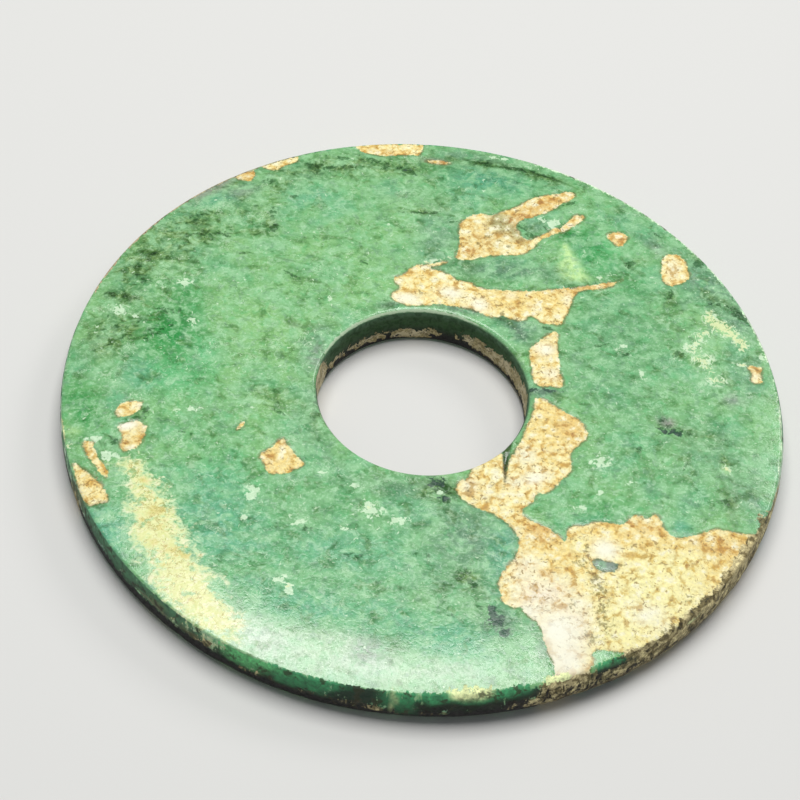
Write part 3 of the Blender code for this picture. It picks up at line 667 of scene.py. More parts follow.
rustySpots = [
    (18.7, -12.4, 1.0, 0.6, 0, 0.55), (17.2, -11.8, 0.5, 0.4, 0, 1.0), (23.8, -12.4, 0.9, 0.4, 10, 0.8),
    (16.4, -18.9, 0.5, 0.3, 0, 0.6), (22.2, -15.0, 1.1, 0.5, 30, 0.6), (10.2, -18.4, 0.6, 0.6, 0, 0.4),
    (9.5, -9.3, 0.4, 0.3, 0, 0.9), (-0.8, 27.1, 1.4, 0.4, 0, 1.0), (12.4, -3.4, 0.6, 0.3, 0, 0.8),
    (10.4, -5.4, 1.2, 0.3, -10, 1.0), (11.5, -4.9, 0.8, 0.3, 0, 0.9), (9.3, -4.5, 0.5, 0.3, 0, 0.9),
    (2.5, 16.4, 0.7, 0.45, 30, 1.0), (8.4, 23.0, 1.0, 0.5, 35, 1.0), (9.8, 23.6, 0.6, 0.4, 30, 0.8),
    (6.7, 9.7, 0.4, 0.5, 0, 1.0), (-11.9, -8.9, 0.6, 0.4, 0, 0.9), (-23.5, -9.4, 0.4, 0.4, 0, 0.7),
    (16.0, 19.6, 0.6, 0.5, 0, 1.0), (11.4, 4.6, 0.3, 0.3, 0, 0.6), (10.2, -14.2, 0.8, 0.5, 0, 0.7),
    (20.4, -14.2, 0.8, 0.5, 0, 0.6), (25.0, -13.4, 1.0, 0.5, 40, 0.8), (-17.8, 22.8, 0.5, 0.4, 0, 0.8),
    (-5.4, 27.5, 0.9, 0.3, 0, 0.7), (27.6, 6.1, 0.4, 0.2, 0, 0.9), (6.8, -10.8, 1.2, 0.4, -20, 0.6),
    (6.3, 20.6, 0.8, 0.5, 40, 1.0), (7.2, 21.3, 0.6, 0.4, 40, 0.9), (-25.6, -14.2, 0.5, 0.6, 40, 0.2),
    (9.2, -13.2, 0.5, 0.3, 0, 0.8), (3.4, -10.5, 0.3, 0.3, 0, 0.8), (5.3, 10.6, 0.3, 0.3, 0, 0.9),
    (8.2, 11.5, 0.3, 0.3, 0, 0.9), (10.3, 11.7, 0.3, 0.25, 0, 0.8), (10.9, 9.2, 0.4, 0.3, 0, 0.8),
    (10.2, 7.2, 0.35, 0.3, 0, 1.0), (9.6, 6.0, 0.25, 0.2, 0, 0.9), (10.4, 4.9, 0.3, 0.2, 0, 0.8),
    (9.2, 3.4, 0.3, 0.5, 30, 0.6), (2.0, 12.2, 0.7, 0.25, 0, 0.8), (19.7, 15.6, 0.2, 0.8, 0, 0.8),
    (8.8, -5.9, 0.3, 0.6, 0, 0.6), (12.8, -19.4, 0.9, 0.4, 20, 0.3), (24.8, -15.8, 0.5, 0.5, 0, 0.6),
    (11.9, 21.8, 0.7, 0.2, 40, 0.8), (7.6, -8.6, 0.4, 0.4, 0, 0.7), (11.4, -7.6, 0.4, 0.3, 0, 0.8),
    (0.6, 10.4, 0.4, 0.3, 0, 0.6),
]
dirtySpots = [  # the trail of olive specks through the largest patch, and a few more
    (13.75, -14.6, 0.2, 0.9, 6, 1.0), (13.2, -16.1, 0.6, 0.7, 0, 0.8), (14.3, -17.2, 0.9, 0.6, -50, 0.8),
    (14.8, -18.6, 0.7, 0.9, 10, 0.8), (15.0, -20.2, 0.6, 0.9, 0, 0.8), (15.4, -21.8, 0.7, 1.0, 20, 0.8),
    (14.4, -23.0, 0.8, 0.7, 0, 0.8), (12.7, -20.3, 0.6, 0.6, 0, 0.6), (12.2, -21.6, 0.4, 0.4, 0, 0.6),
    (18.4, -11.1, 0.5, 0.25, 20, 1.0), (16.35, -16.0, 0.3, 0.25, 0, 1.0), (4.1, -10.3, 0.14, 0.5, 0, 0.9),
    (5.9, 9.2, 0.3, 0.4, 0, 1.0), (10.5, 9.0, 0.3, 0.2, 0, 1.0), (3.3, 17.2, 0.32, 0.28, 0, 1.0),
    (4.1, 18.1, 0.32, 0.24, 0, 1.0), (5.3, 17.9, 0.4, 0.2, 0, 0.8), (6.0, 17.3, 0.4, 0.2, 0, 0.8),
    (-1.2, 10.8, 0.5, 0.25, 0, 0.7), (21.9, -18.4, 0.6, 0.4, 0, 0.8), (6.0, 16.5, 0.2, 0.15, 0, 0.8),
    (9.9, 24.0, 0.3, 0.2, 0, 0.7), (5.4, 19.0, 1.2, 0.4, 20, 0.5), (10.3, -13.6, 0.6, 0.2, 40, 0.6),
    (15.0, 14.4, 0.9, 0.25, 25, 0.6), (-1.6, 14.3, 0.9, 0.2, 40, 0.6), (8.4, 22.6, 0.3, 0.2, 30, 0.9),
    (0.4, 14.2, 0.6, 0.15, 20, 0.9), (20.2, -21.4, 1.4, 0.4, 35, 0.6), (24.4, -18.0, 0.6, 0.4, 40, 0.7),
]
grainySpots = [  # brown grains inside the yellow streak
    (-20.0, -15.3, 0.9, 0.7, 0, 1.0), (-19.5, -16.9, 0.7, 0.6, 0, 0.9), (-20.9, -16.6, 0.5, 0.5, 0, 0.8),
    (-17.7, -19.1, 1.3, 0.6, -10, 0.9), (-21.6, -12.6, 0.6, 0.4, 0, 0.6), (-18.7, -20.4, 0.8, 0.4, 0, 0.7),
    (-15.9, -23.2, 0.7, 0.5, 0, 0.5), (-20.0, -18.4, 0.9, 0.4, 0, 0.6), (-22.2, -14.4, 0.4, 0.6, 0, 0.5),
]
# Altered stone on the bore's wall: turn in degrees, height, half length, half height
boreStains = [
    (99, 1.05, 2.3, 0.6), (62, 1.5, 1.4, 0.6), (50, 1.4, 1.6, 0.65), (38, 1.6, 1.9, 0.75),
    (24, 1.8, 1.9, 0.95), (10, 2.0, 1.7, 1.1), (126, 1.2, 1.9, 0.4), (150, 1.4, 1.4, 0.3),
    (174, 1.7, 2.2, 2.2), (-50, 2.0, 2.6, 2.2), (-115, 1.0, 2.0, 0.7),
]
# Colours of the rim below its upper corner: turn in degrees, depth, half length, half depth, strength
rimBands = {
    "emerald": [
        (-91.0, 0.8, 1.2, 1.3, 0.6), (-98.0, 0.3, 0.8, 0.4, 0.6),
        (-104.0, 0.7, 2.5, 1.2, 1.0), (-88.4, 1.3, 0.95, 1.7, 1.0), (-84.6, 0.4, 1.3, 0.85, 1.0),
        (-79.0, 0.9, 1.9, 0.4, 0.8), (-73.6, 0.4, 1.5, 0.75, 1.0), (-57.4, 0.35, 1.1, 0.55, 1.0),
        (110, 0.6, 20.0, 0.8, 0.6), (40, 0.6, 12.0, 0.8, 0.5),
    ],
    "fern": [(-112.8, 0.7, 2.4, 1.1, 1.0), (-109.0, 0.3, 1.0, 0.5, 0.6), (-106.0, 0.2, 1.4, 0.3, 0.5)],
    "mist": [
        (-137, 0.5, 8.4, 1.2, 1.0), (-160, 0.5, 3.5, 0.7, 0.6), (180, 0.9, 6.0, 1.0, 0.7),
        (5, 0.9, 5.0, 0.9, 0.6),
    ],
    "tar": [
        (-94.9, 0.7, 2.0, 1.2, 1.0), (-109.2, 1.2, 0.5, 0.7, 0.8), (-71.0, 1.0, 0.8, 0.6, 0.7),
        (-99.0, 1.3, 1.0, 0.5, 0.8), (-57.4, 0.8, 1.2, 0.4, 0.9), (-73.0, 1.1, 1.6, 0.4, 0.7),
    ],
    # near-black low on the front of the rim: painted shade, partly soot
    "grimeAndShade": [
        (-62.0, 1.9, 3.2, 0.8, 0.42), (-51.0, 2.1, 2.4, 0.5, 0.36), (-80.0, 1.75, 5.0, 0.85, 1.0),
        (-104.0, 2.3, 5.0, 0.5, 0.9), (-116.6, 1.7, 0.8, 0.8, 0.8),
    ],
    "soil": [
        (-152.6, 0.9, 2.0, 0.5, 0.6), (-129.0, 0.9, 0.8, 0.5, 0.8), (-122.5, 1.3, 0.9, 0.35, 0.6),
        (150, 1.6, 6.0, 0.6, 0.7),
    ],
    "crustBeige": [(-36.0, 0.9, 4.4, 0.7, 0.4), (-24.0, 0.6, 2.4, 0.6, 0.4)],
    "lemon": [
        (-79.6, 0.1, 1.5, 0.8, 0.75), (-77.0, 0.0, 0.7, 0.55, 0.6), (-90.6, 1.1, 0.16, 1.3, 1.0),
        (-165.0, 0.1, 1.2, 0.14, 0.9), (-66.0, 0.0, 1.0, 0.45, 0.8), (-41.5, 0.9, 1.0, 0.26, 0.7),
    ],
    "shell": [
        (-85.9, 1.5, 0.16, 0.5, 0.9), (-130.0, 1.4, 2.0, 0.14, 0.7), (70, 1.6, 6.0, 0.5, 0.8),
        (165, 1.8, 5.0, 0.4, 0.8),
    ],
}
# Rough brown and cream crust on the rim, in the same terms
crustBands = [
    (-106.0, 1.95, 4.0, 0.3, 0.75), (-95.5, 2.0, 1.6, 0.35, 0.75), (-120.5, 1.3, 1.3, 0.5, 0.7),
    (-72.0, 1.9, 1.0, 0.6, 0.8), (-128.0, 0.9, 1.6, 0.5, 0.6), (-88.0, 2.3, 4.0, 0.3, 0.5),
    (-112.0, 2.0, 1.0, 0.3, 0.8), (-61.0, 1.6, 4.6, 1.3, 1.0), (-66.0, 1.4, 1.6, 1.2, 1.0),
    (-47.0, 1.4, 6.0, 1.6, 1.0), (-34.0, 1.2, 5.0, 1.7, 1.0), (-24.0, 1.0, 3.4, 1.5, 1.0),
    (-14.0, 1.2, 3.0, 1.0, 0.7), (-152.6, 1.2, 2.4, 0.6, 0.4), (-52.0, 0.1, 1.6, 0.3, 0.6),
    (-38.0, 0.0, 2.0, 0.3, 0.7), (-29.0, -0.1, 2.0, 0.4, 0.8), (75, 1.5, 5.0, 0.8, 0.7),
    (160, 1.6, 4.0, 0.6, 0.6),
]
# Wear along the upper edge of the rim: turn in degrees, half length, strength
edgeWear = {
    "lip": [(66, 5.0, 0.9), (48, 10.0, 0.8), (-2, 6.0, 0.4), (20, 4.0, 0.6)],
    "shell": [(136, 10.0, 0.9), (160, 4.0, 0.6)],
}


def bell(distance, width, power=2):
    # 1 at no distance and about a third at the width; a power of 4 makes the top flat
    return np.exp(-((distance / width) ** power))


def cornersEased(outline, reach=0.22, largestShare=0.3):
    # each corner is cut off along the two edges that meet there, this far or by this share of them
    points = np.array(outline)
    before = np.roll(points, 1, 0) - points
    after = np.roll(points, -1, 0) - points
    cuts = [np.minimum(largestShare, reach / np.hypot(*edge.T))[:, None] for edge in (before, after)]
    return np.stack([points + before * cuts[0], points + after * cuts[1]], 1).reshape(-1, 2)


def fromSegment(x, y, start, end):
    # distance to a straight line from start to end
    dx, dy = end[0] - start[0], end[1] - start[1]
    share = np.clip(((x - start[0]) * dx + (y - start[1]) * dy) / (dx * dx + dy * dy), 0, 1)
    return np.hypot(x - start[0] - share * dx, y - start[1] - share * dy)


def insideDistance(x, y, outline, limit=2.0):
    # distance to the nearest edge of a closed outline, positive inside it, cut off at a limit
    corners = cornersEased(outline)
    near = (x > corners[:, 0].min() - limit) & (x < corners[:, 0].max() + limit)
    near &= (y > corners[:, 1].min() - limit) & (y < corners[:, 1].max() + limit)
    px, py = x[near], y[near]
    nearest, inside = np.full(px.shape, limit), np.zeros(px.shape, bool)
    for start, end in zip(corners, np.roll(corners, -1, 0)):
        nearest = np.minimum(nearest, fromSegment(px, py, start, end))
        if start[1] != end[1]:
            share = (py - start[1]) / (end[1] - start[1])
            inside ^= ((start[1] > py) != (end[1] > py)) & (px < start[0] + share * (end[0] - start[0]))
    distance = np.full(x.shape, -limit)
    distance[near] = np.where(inside, nearest, -nearest)
    return distance


def glow(x, y, spots):
    # overlapping soft ellipses, each falling off as a bell curve, together never over 1
    left = np.ones_like(x)
    for cx, cy, halfLength, halfWidth, turn, strength in spots:
        angle = math.radians(turn)
        along = (x - cx) * math.cos(angle) + (y - cy) * math.sin(angle)
        across = (y - cy) * math.cos(angle) - (x - cx) * math.sin(angle)
        left *= 1 - strength * np.exp(-((along / halfLength) ** 2 + (across / halfWidth) ** 2))
    return 1 - left


def strokes(x, y, lines):
    # thin lines through points, each falling off as a bell curve to both sides
    left = np.ones_like(x)
    for points, halfWidth, strength in lines:
        away = np.min([fromSegment(x, y, *ends) for ends in itertools.pairwise(points)], axis=0)
        left *= 1 - strength * bell(away, halfWidth)
    return 1 - left


def arcFrom(turn, centre, radius):
    # how far round a circle each point is from a turn given in degrees
    return np.abs((turn - math.radians(centre) + math.pi) % tau - math.pi) * radius


def wallDistance(turn, z, radius, stains, limit=2.0):
    # ellipses on an unrolled wall, as a rough distance that is positive inside
    distance = np.full(turn.shape, -limit)
    for centre, height, halfLength, halfHeight in stains:
        reach = np.hypot(arcFrom(turn, centre, radius) / halfLength, (z - height) / halfHeight)
        distance = np.maximum(distance, (1 - reach) * min(halfLength, halfHeight))
    return distance


def blended(weights):
    # several tones at one place: their mean by squared weight, and how much of them there is
    layers = np.stack(list(weights.values()), -1)
    colours = np.array([tone(name)[:3] for name in weights])
    mixed = (layers ** 2) @ colours / np.maximum((layers ** 2).sum(-1, keepdims=True), 1e-6)
    return np.concatenate([mixed, 1 - np.prod(1 - layers, axis=-1)[..., None]], -1)


def washed(x, y, washes):
    return blended({name: glow(x, y, spots) for name, spots in washes.items()})


rimFacts = {
    "arcShake": 0.35,  # how far noise moves a band's ends and its edges
    "depthShake": 0.3,
    "endNoise": 1.4,  # size of the noise that moves the ends, and of those for colours' and crust's edges
    "colourNoise": 0.9,
    "crustNoise": 0.7,
    "spill": {"lemon": -0.9, "emerald": -0.28, "tar": -0.28},  # how far a band reaches over the corner
    "plainSpill": -0.03,
    "spillFade": 0.1,
    "start": (-0.05, 0.25),  # dirt with painted shade comes in over this depth below the upper corner
    "lowerShake": (0.3, 0.2),  # how far each noise moves the lower limits
    "colourLimit": (-0.4, 0.1),  # above the lower corner, where colours, dirt with painted shade, and crust come in
    "dirtLimit": (-0.4, 0.2),
    "crustLimit": (-0.9, -0.1),
    "wearWidth": 0.16,
    # Soot with painted shade, heaviest under the front of the rim: full this many radians round from its
    # middle, a turn in degrees, and ends a little on
    "shadeSoot": {"middle": -97, "full": 1.3, "end": 1.8, "elsewhere": 0.3},
}


def belowCorner(radius, z, turn):
    # how far a place lies past the rim's upper corner, outward and down together, negative on the face
    corner = cornerRadius(np.degrees(turn))
    return radius - corner + disc["thickness"] - shoulderDrop(corner) - z


def banded(turn, depth, shake, bands):
    # long soft bands on the rim, shaken a little
    left = np.ones_like(turn)
    shaken = depth + rimFacts["depthShake"] * shake[1]
    for centre, middle, halfLength, halfDepth, strength in bands:
        arc = arcFrom(turn, centre, disc["radius"]) + rimFacts["arcShake"] * shake[0]
        left *= 1 - strength * np.exp(-((arc / halfLength) ** 4 + ((shaken - middle) / halfDepth) ** 4))
    return 1 - left


def rimColours(points, turn, depth, aboveUnderside):
    # soft bands of colour on the rim, and thin wear along its upper corner
    shake = cloud(points, rimFacts["endNoise"], 22), cloud(points, rimFacts["colourNoise"], 21)
    limit = eased(aboveUnderside, *rimFacts["colourLimit"])
    weights = {}
    for name, bands in rimBands.items():
        spill = rimFacts["spill"].get(name, rimFacts["plainSpill"])
        onRim = eased(depth, spill, spill + rimFacts["spillFade"]) * limit
        weights[name] = banded(turn, depth, shake, bands) * onRim
    onEdge = bell(depth, rimFacts["wearWidth"]) * (points[..., 2] > disc["thickness"] / 2)
    for name, wear in edgeWear.items():
        for centre, halfLength, strength in wear:
            worn = strength * onEdge * bell(arcFrom(turn, centre, disc["radius"]), halfLength, 4)
            weights[name] = np.maximum(weights.get(name, 0), worn)
    return blended(weights)


def rimMarks(points):
    x, y, z = np.moveaxis(points, -1, 0)
    turn, radius = np.arctan2(y, x), np.hypot(x, y)
    depth = belowCorner(radius, z, turn)
    shake = cloud(points, rimFacts["endNoise"], 23), cloud(points, rimFacts["crustNoise"], 24)
    # The same from the lower corner upwards, so that little of the rim's dirt and painted shade spreads over
    # the underside
    aboveUnderside = belowCorner(radius, disc["thickness"] - z, turn)
    for share, noise in zip(rimFacts["lowerShake"], shake):
        aboveUnderside = aboveUnderside + share * noise
    onRim = eased(depth, *rimFacts["start"]) * eased(aboveUnderside, *rimFacts["dirtLimit"])
    # the soot mark is painted shade too, full at the front of the rim and weaker elsewhere
    shadeSoot = rimFacts["shadeSoot"]
    front = 1 - eased(arcFrom(turn, shadeSoot["middle"], 1.0), shadeSoot["full"], shadeSoot["end"])
    return {
        "onRim": onRim,
        "sootAndShade": onRim * (shadeSoot["elsewhere"] + (1 - shadeSoot["elsewhere"]) * front),
        "rimWash": rimColours(points, turn, depth, aboveUnderside),
        "crust": banded(turn, depth, shake, crustBands) * eased(aboveUnderside, *rimFacts["crustLimit"]),
    }


boreFacts = {
    "wallReach": 0.15,  # how far out from the bore's radius still counts as its wall
    "wallStart": 0.06,  # below the upper face
    "wallFull": 0.3,
    "lipHighlightOut": 0.24,  # how far out the painted highlight on the lip runs, and its width
    "lipHighlightWidth": 0.1,
    "lipHighlightTurn": 112,  # it is strongest here, to this distance both ways
    "lipHighlightReach": 8.0,
    "lipHighlightElsewhere": 0.25,
}


def aroundBore(points):
    # turn about the bore's own middle, and distance from it
    x, y = np.moveaxis(points[..., :2] - disc["boreCentre"], -1, 0)
    return np.arctan2(y, x), np.hypot(x, y)


def boreMarks(points, patch, depth):
    turn, radius = aroundBore(points)
    z, top = points[..., 2], disc["thickness"]
    onWall = radius < disc["boreRadius"] + boreFacts["wallReach"]
    wall = wallDistance(turn, z, disc["boreRadius"], boreStains)
    # The rounded lip carries a painted highlight, a pale line strongest at the back
    fromLine = radius - disc["boreRadius"] - boreFacts["lipHighlightOut"]
    line = bell(fromLine, boreFacts["lipHighlightWidth"]) * (z > top / 2)
    back = bell(arcFrom(turn, boreFacts["lipHighlightTurn"], disc["boreRadius"]), boreFacts["lipHighlightReach"], 4)
    return {
        "patch": np.where(onWall, np.where(depth > 0, wall, np.maximum(patch, wall)), patch),
        "onWall": onWall * eased(z, top - boreFacts["wallStart"], top - boreFacts["wallFull"]),
        "lipHighlight": line * (boreFacts["lipHighlightElsewhere"] + (1 - boreFacts["lipHighlightElsewhere"]) * back),
    }


throughDisc = {  # how the marks change on their way from the upper face down to the underside
    "start": 0.35,  # below the outer end of the shoulder
    "slide": (1.1, -0.8),
    "warp": 1.6,
    "warpSize": 5.0,
    "shrink": 0.35,
    "ragged": 0.5,
    "raggedSize": 2.2,
    "streakShrink": 0.3,
}
faceSpots = {
    "rusty": rustySpots,
    "dirty": dirtySpots,
    "grainy": grainySpots,
    "dim": dimSpots,
    "pale": paleClots,
    "creamy": creamClots,
    "mossy": mossyClusters,
    "clot": darkClots,
    "smoky": smokyClots,
    "bleached": bleachedSpots,
}


def slidPlan(points):
    # Every mark on the faces is worked out on the upper face's plan. Below it the plan slides and
    # warps with depth, so the altered stone runs through the disc and comes out changed underneath.
    x, y, z = np.moveaxis(points, -1, 0)
    start = disc["thickness"] - disc["shoulderFall"] - throughDisc["start"]
    depth = np.clip((start - z) / disc["thickness"], 0, 1)
    warps = [throughDisc["warp"] * cloud(points, throughDisc["warpSize"], seed) for seed in (1, 2)]
    slideX, slideY = throughDisc["slide"]
    return x + depth * (slideX + warps[0]), y + depth * (slideY + warps[1]), depth


def alteredDistance(points, planX, planY, depth):
    # how far inside a patch of altered stone, less and more ragged with depth
    patch = np.max([insideDistance(planX, planY, outline) for outline in patches.values()], axis=0)
    patch = np.minimum(patch, -insideDistance(planX, planY, islandOutline))
    ragged = throughDisc["ragged"] * cloud(points, throughDisc["raggedSize"], 3)
    return patch + depth * (ragged - throughDisc["shrink"])


def discMarks(points):
    planX, planY, depth = slidPlan(points)
    patch = alteredDistance(points, planX, planY, depth)
    streak = insideDistance(planX, planY, streakOutline)
    return {
        **boreMarks(points, patch, depth),
        **rimMarks(points),
        **{name: glow(planX, planY, spots) for name, spots in faceSpots.items()},
        "crack": insideDistance(planX, planY, crackOutline),
        "streak": streak - throughDisc["streakShrink"] * depth,
        "vein": strokes(planX, planY, veins),
        "wash": washed(planX, planY, cloudWashes),
        "patchWash": washed(planX, planY, patchWashes),
    }


relief = {  # all of it is cut into the stone; a size is that of the noise which shapes it
    "alteredEdge": (-0.1, 0.15),  # stone counts as altered from here to there inside a patch
    "pitDepth": 0.05,
    "pitSize": 0.75,
    "pitFineSize": 0.35,
    "pitEdge": (0.25, 0.9),  # height of the noise where a pit starts and where it is full
    "seamDepth": 0.03,
    "seamWidth": 0.2,
    "crackDepth": 0.45,
    "crackEdge": (-0.05, 0.25),  # inside the crack's outline
    "crackEnd": (0.3, 1.2),  # the crack comes in this far from the bore's lip
    "grooveDepth": 0.16,
    "grooveHeight": 2.45,
    "grooveWidth": 0.35,
    "grooveDrift": 0.2,
    "grooveDriftSize": 2.6,
    "grooveSize": 1.1,
    "grooveFrom": math.radians(-68),
    "grooveTo": math.radians(-8),
    "grooveFadeIn": 0.2,  # in radians
    "grooveFadeOut": 0.3,
    "rimWear": 0.16,
    "rimWearSize": 1.3,
    "rimWearFineSize": 0.55,
    "waviness": 0.012,
    "wavinessSize": 5.5,
}


def faceRelief(points, marks, altered):
    # pits and a seam where the stone is altered, the open crack, and a slight waviness everywhere
    pits = cloud(points, relief["pitSize"], 11) + 0.5 * cloud(points, relief["pitFineSize"], 12)
    depth = relief["pitDepth"] * eased(pits, *relief["pitEdge"]) * altered
    depth += relief["seamDepth"] * bell(marks["patch"], relief["seamWidth"])
    fromLip = aroundBore(points)[1] - disc["boreRadius"]
    cracked = eased(marks["crack"], *relief["crackEdge"]) * eased(fromLip, *relief["crackEnd"])
    depth += relief["crackDepth"] * cracked
    return depth + relief["waviness"] * (1 + cloud(points, relief["wavinessSize"], 17))


def rimRelief(points, marks, altered):
    # a ragged groove along the crusted stretch of rim, and wear, most of all there
    x, y, z = np.moveaxis(points, -1, 0)
    turn = np.arctan2(y, x)
    stretch = eased(turn, relief["grooveFrom"], relief["grooveFrom"] + relief["grooveFadeIn"])
    stretch *= 1 - eased(turn, relief["grooveTo"] - relief["grooveFadeOut"], relief["grooveTo"])
    line = relief["grooveHeight"] + relief["grooveDrift"] * cloud(points, relief["grooveDriftSize"], 13)
    groove = bell(z - line, relief["grooveWidth"]) * (0.55 + 0.45 * cloud(points, relief["grooveSize"], 14))
    ragged = 0.35 * cloud(points, relief["rimWearSize"], 15)
    ragged += 0.25 * cloud(points, relief["rimWearFineSize"], 16)
    worn = np.clip(stretch + altered * 0.6, 0, 1) * 0.9 + 0.1
    depth = relief["grooveDepth"] * groove * stretch
    return (depth + relief["rimWear"] * np.clip(0.5 + ragged, 0, 1) * worn) * marks["onRim"]


def discMesh():
    points = discGrid()
    marks = discMarks(points)
    altered = eased(marks["patch"], *relief["alteredEdge"])
    depth = faceRelief(points, marks, altered) + rimRelief(points, marks, altered)
    points = points - gridNormals(points) * depth[..., None]
    points[..., 2] = np.clip(points[..., 2], low[2], high[2])
    rings, around = points.shape[:2]

    index = np.arange(rings * around).reshape(rings, around)
    nextTurn, nextRing = np.roll(index, -1, 1), np.roll(index, -1, 0)
    faces = np.stack([index, nextRing, np.roll(nextRing, -1, 1), nextTurn], -1).reshape(-1, 4)
    mesh = bpy.data.meshes.new("jadeDisc")
    mesh.vertices.add(rings * around)
    mesh.vertices.foreach_set("co", (points * mm).astype(np.float32).ravel())
    mesh.loops.add(faces.size)
    mesh.loops.foreach_set("vertex_index", faces.astype(np.int32).ravel())
    mesh.polygons.add(len(faces))
    mesh.polygons.foreach_set("loop_start", np.arange(len(faces), dtype=np.int32) * 4)
    mesh.update(calc_edges=True)
    mesh.shade_smooth()
    for name, values in marks.items():
        kind, field = ("FLOAT_COLOR", "color") if values.ndim == 3 else ("FLOAT", "value")
        layer = mesh.attributes.new(name, kind, "POINT")
        layer.data.foreach_set(field, values.astype(np.float32).ravel())
    print("disc meshed:", rings, "rings of", around, "-", len(faces) * 2, "triangles")
    return mesh


# What a stain multiplies the colour under it by, in linear light
dyes = {
    "murk": (0.5, 0.64, 0.5),
    "dusk": (0.62, 0.72, 0.62),
    "fibre": (0.42, 0.57, 0.4),
    "vein": (0.4, 0.54, 0.34),
    "speck": (0.34, 0.5, 0.36),
    "clot": (0.24, 0.36, 0.25),
    "veilShade": (0.82, 0.84, 0.58),
    "veilGrain": (0.7, 0.78, 0.5),
    "veilLine": (0.58, 0.5, 0.26),
    "blotch": (0.83, 0.69, 0.42),
    "crumbLine": (0.66, 0.5, 0.24),
    "pit": (0.46, 0.3, 0.14),
    "oliveDirt": (0.38, 0.36, 0.24),
    "crack": (0.2, 0.17, 0.07),
    "wallMottle": (0.4, 0.5, 0.36),
}
# The noises: size of a feature in millimetres, seed, detail, roughness, distortion, stretch along X
textures = {
    "broad": (3.4, 1.0, 3.0, 0.55, 0.0, 1.0),
    "middle": (1.3, 2.0, 3.0, 0.56, 0.5, 1.2),
    "tint": (0.9, 5.0, 3.0, 0.62, 0.3, 1.0),
    "mottle": (0.6, 3.0, 3.0, 0.62, 0.6, 1.0),
    "grain": (0.24, 4.0, 2.0, 0.62, 0.0, 1.0),
    "smudge": (0.85, 6.0, 2.0, 0.5, 0.6, 1.3),
    "fibres": (0.55, 9.0, 3.0, 0.6, 0.5, 2.4),
    "fibreBundles": (2.2, 10.0, 1.0, 0.5, 0.0, 1.0),
    "curls": (0.5, 7.0, 2.0, 0.6, 1.2, 1.0),
    "curlGroups": (1.8, 8.0, 2.0, 0.5, 0.0, 1.0),
    "flecks": (0.34, 11.0, 1.0, 0.5, 0.8, 1.0),
    "specks": (0.42, 12.0, 3.0, 0.6, 0.4, 1.2),
    "crumbled": (0.5, 18.0, 3.0, 0.6, 0.5, 1.0),
    "ribs": (0.7, 23.0, 2.0, 0.6, 0.8, 1.0),
    "crystals": (0.6, 15.0, 3.0, 0.6, 0.4, 1.2),
    "cells": (0.95, 13.0, 4.0, 0.6, 0.5, 1.0),
    "spots": (0.5, 14.0, 3.0, 0.6, 0.6, 1.0),
    "pits": (0.3, 19.0, 2.0, 0.5, 0.0, 1.0),
    "pitGroups": (1.5, 17.0, 1.0, 0.5, 0.0, 1.0),
    "dirt": (0.32, 20.0, 3.0, 0.6, 0.3, 1.0),
    "rubble": (0.5, 21.0, 4.0, 0.7, 0.5, 1.0),
    "strands": (1.3, 24.0, 3.0, 0.62, 0.4, 0.28),  # short round the rim's front, long up and down
}
crumbSizes = {"crumb": (0.7, 16.0), "rubble": (0.45, 22.0)}  # size in millimetres, seed


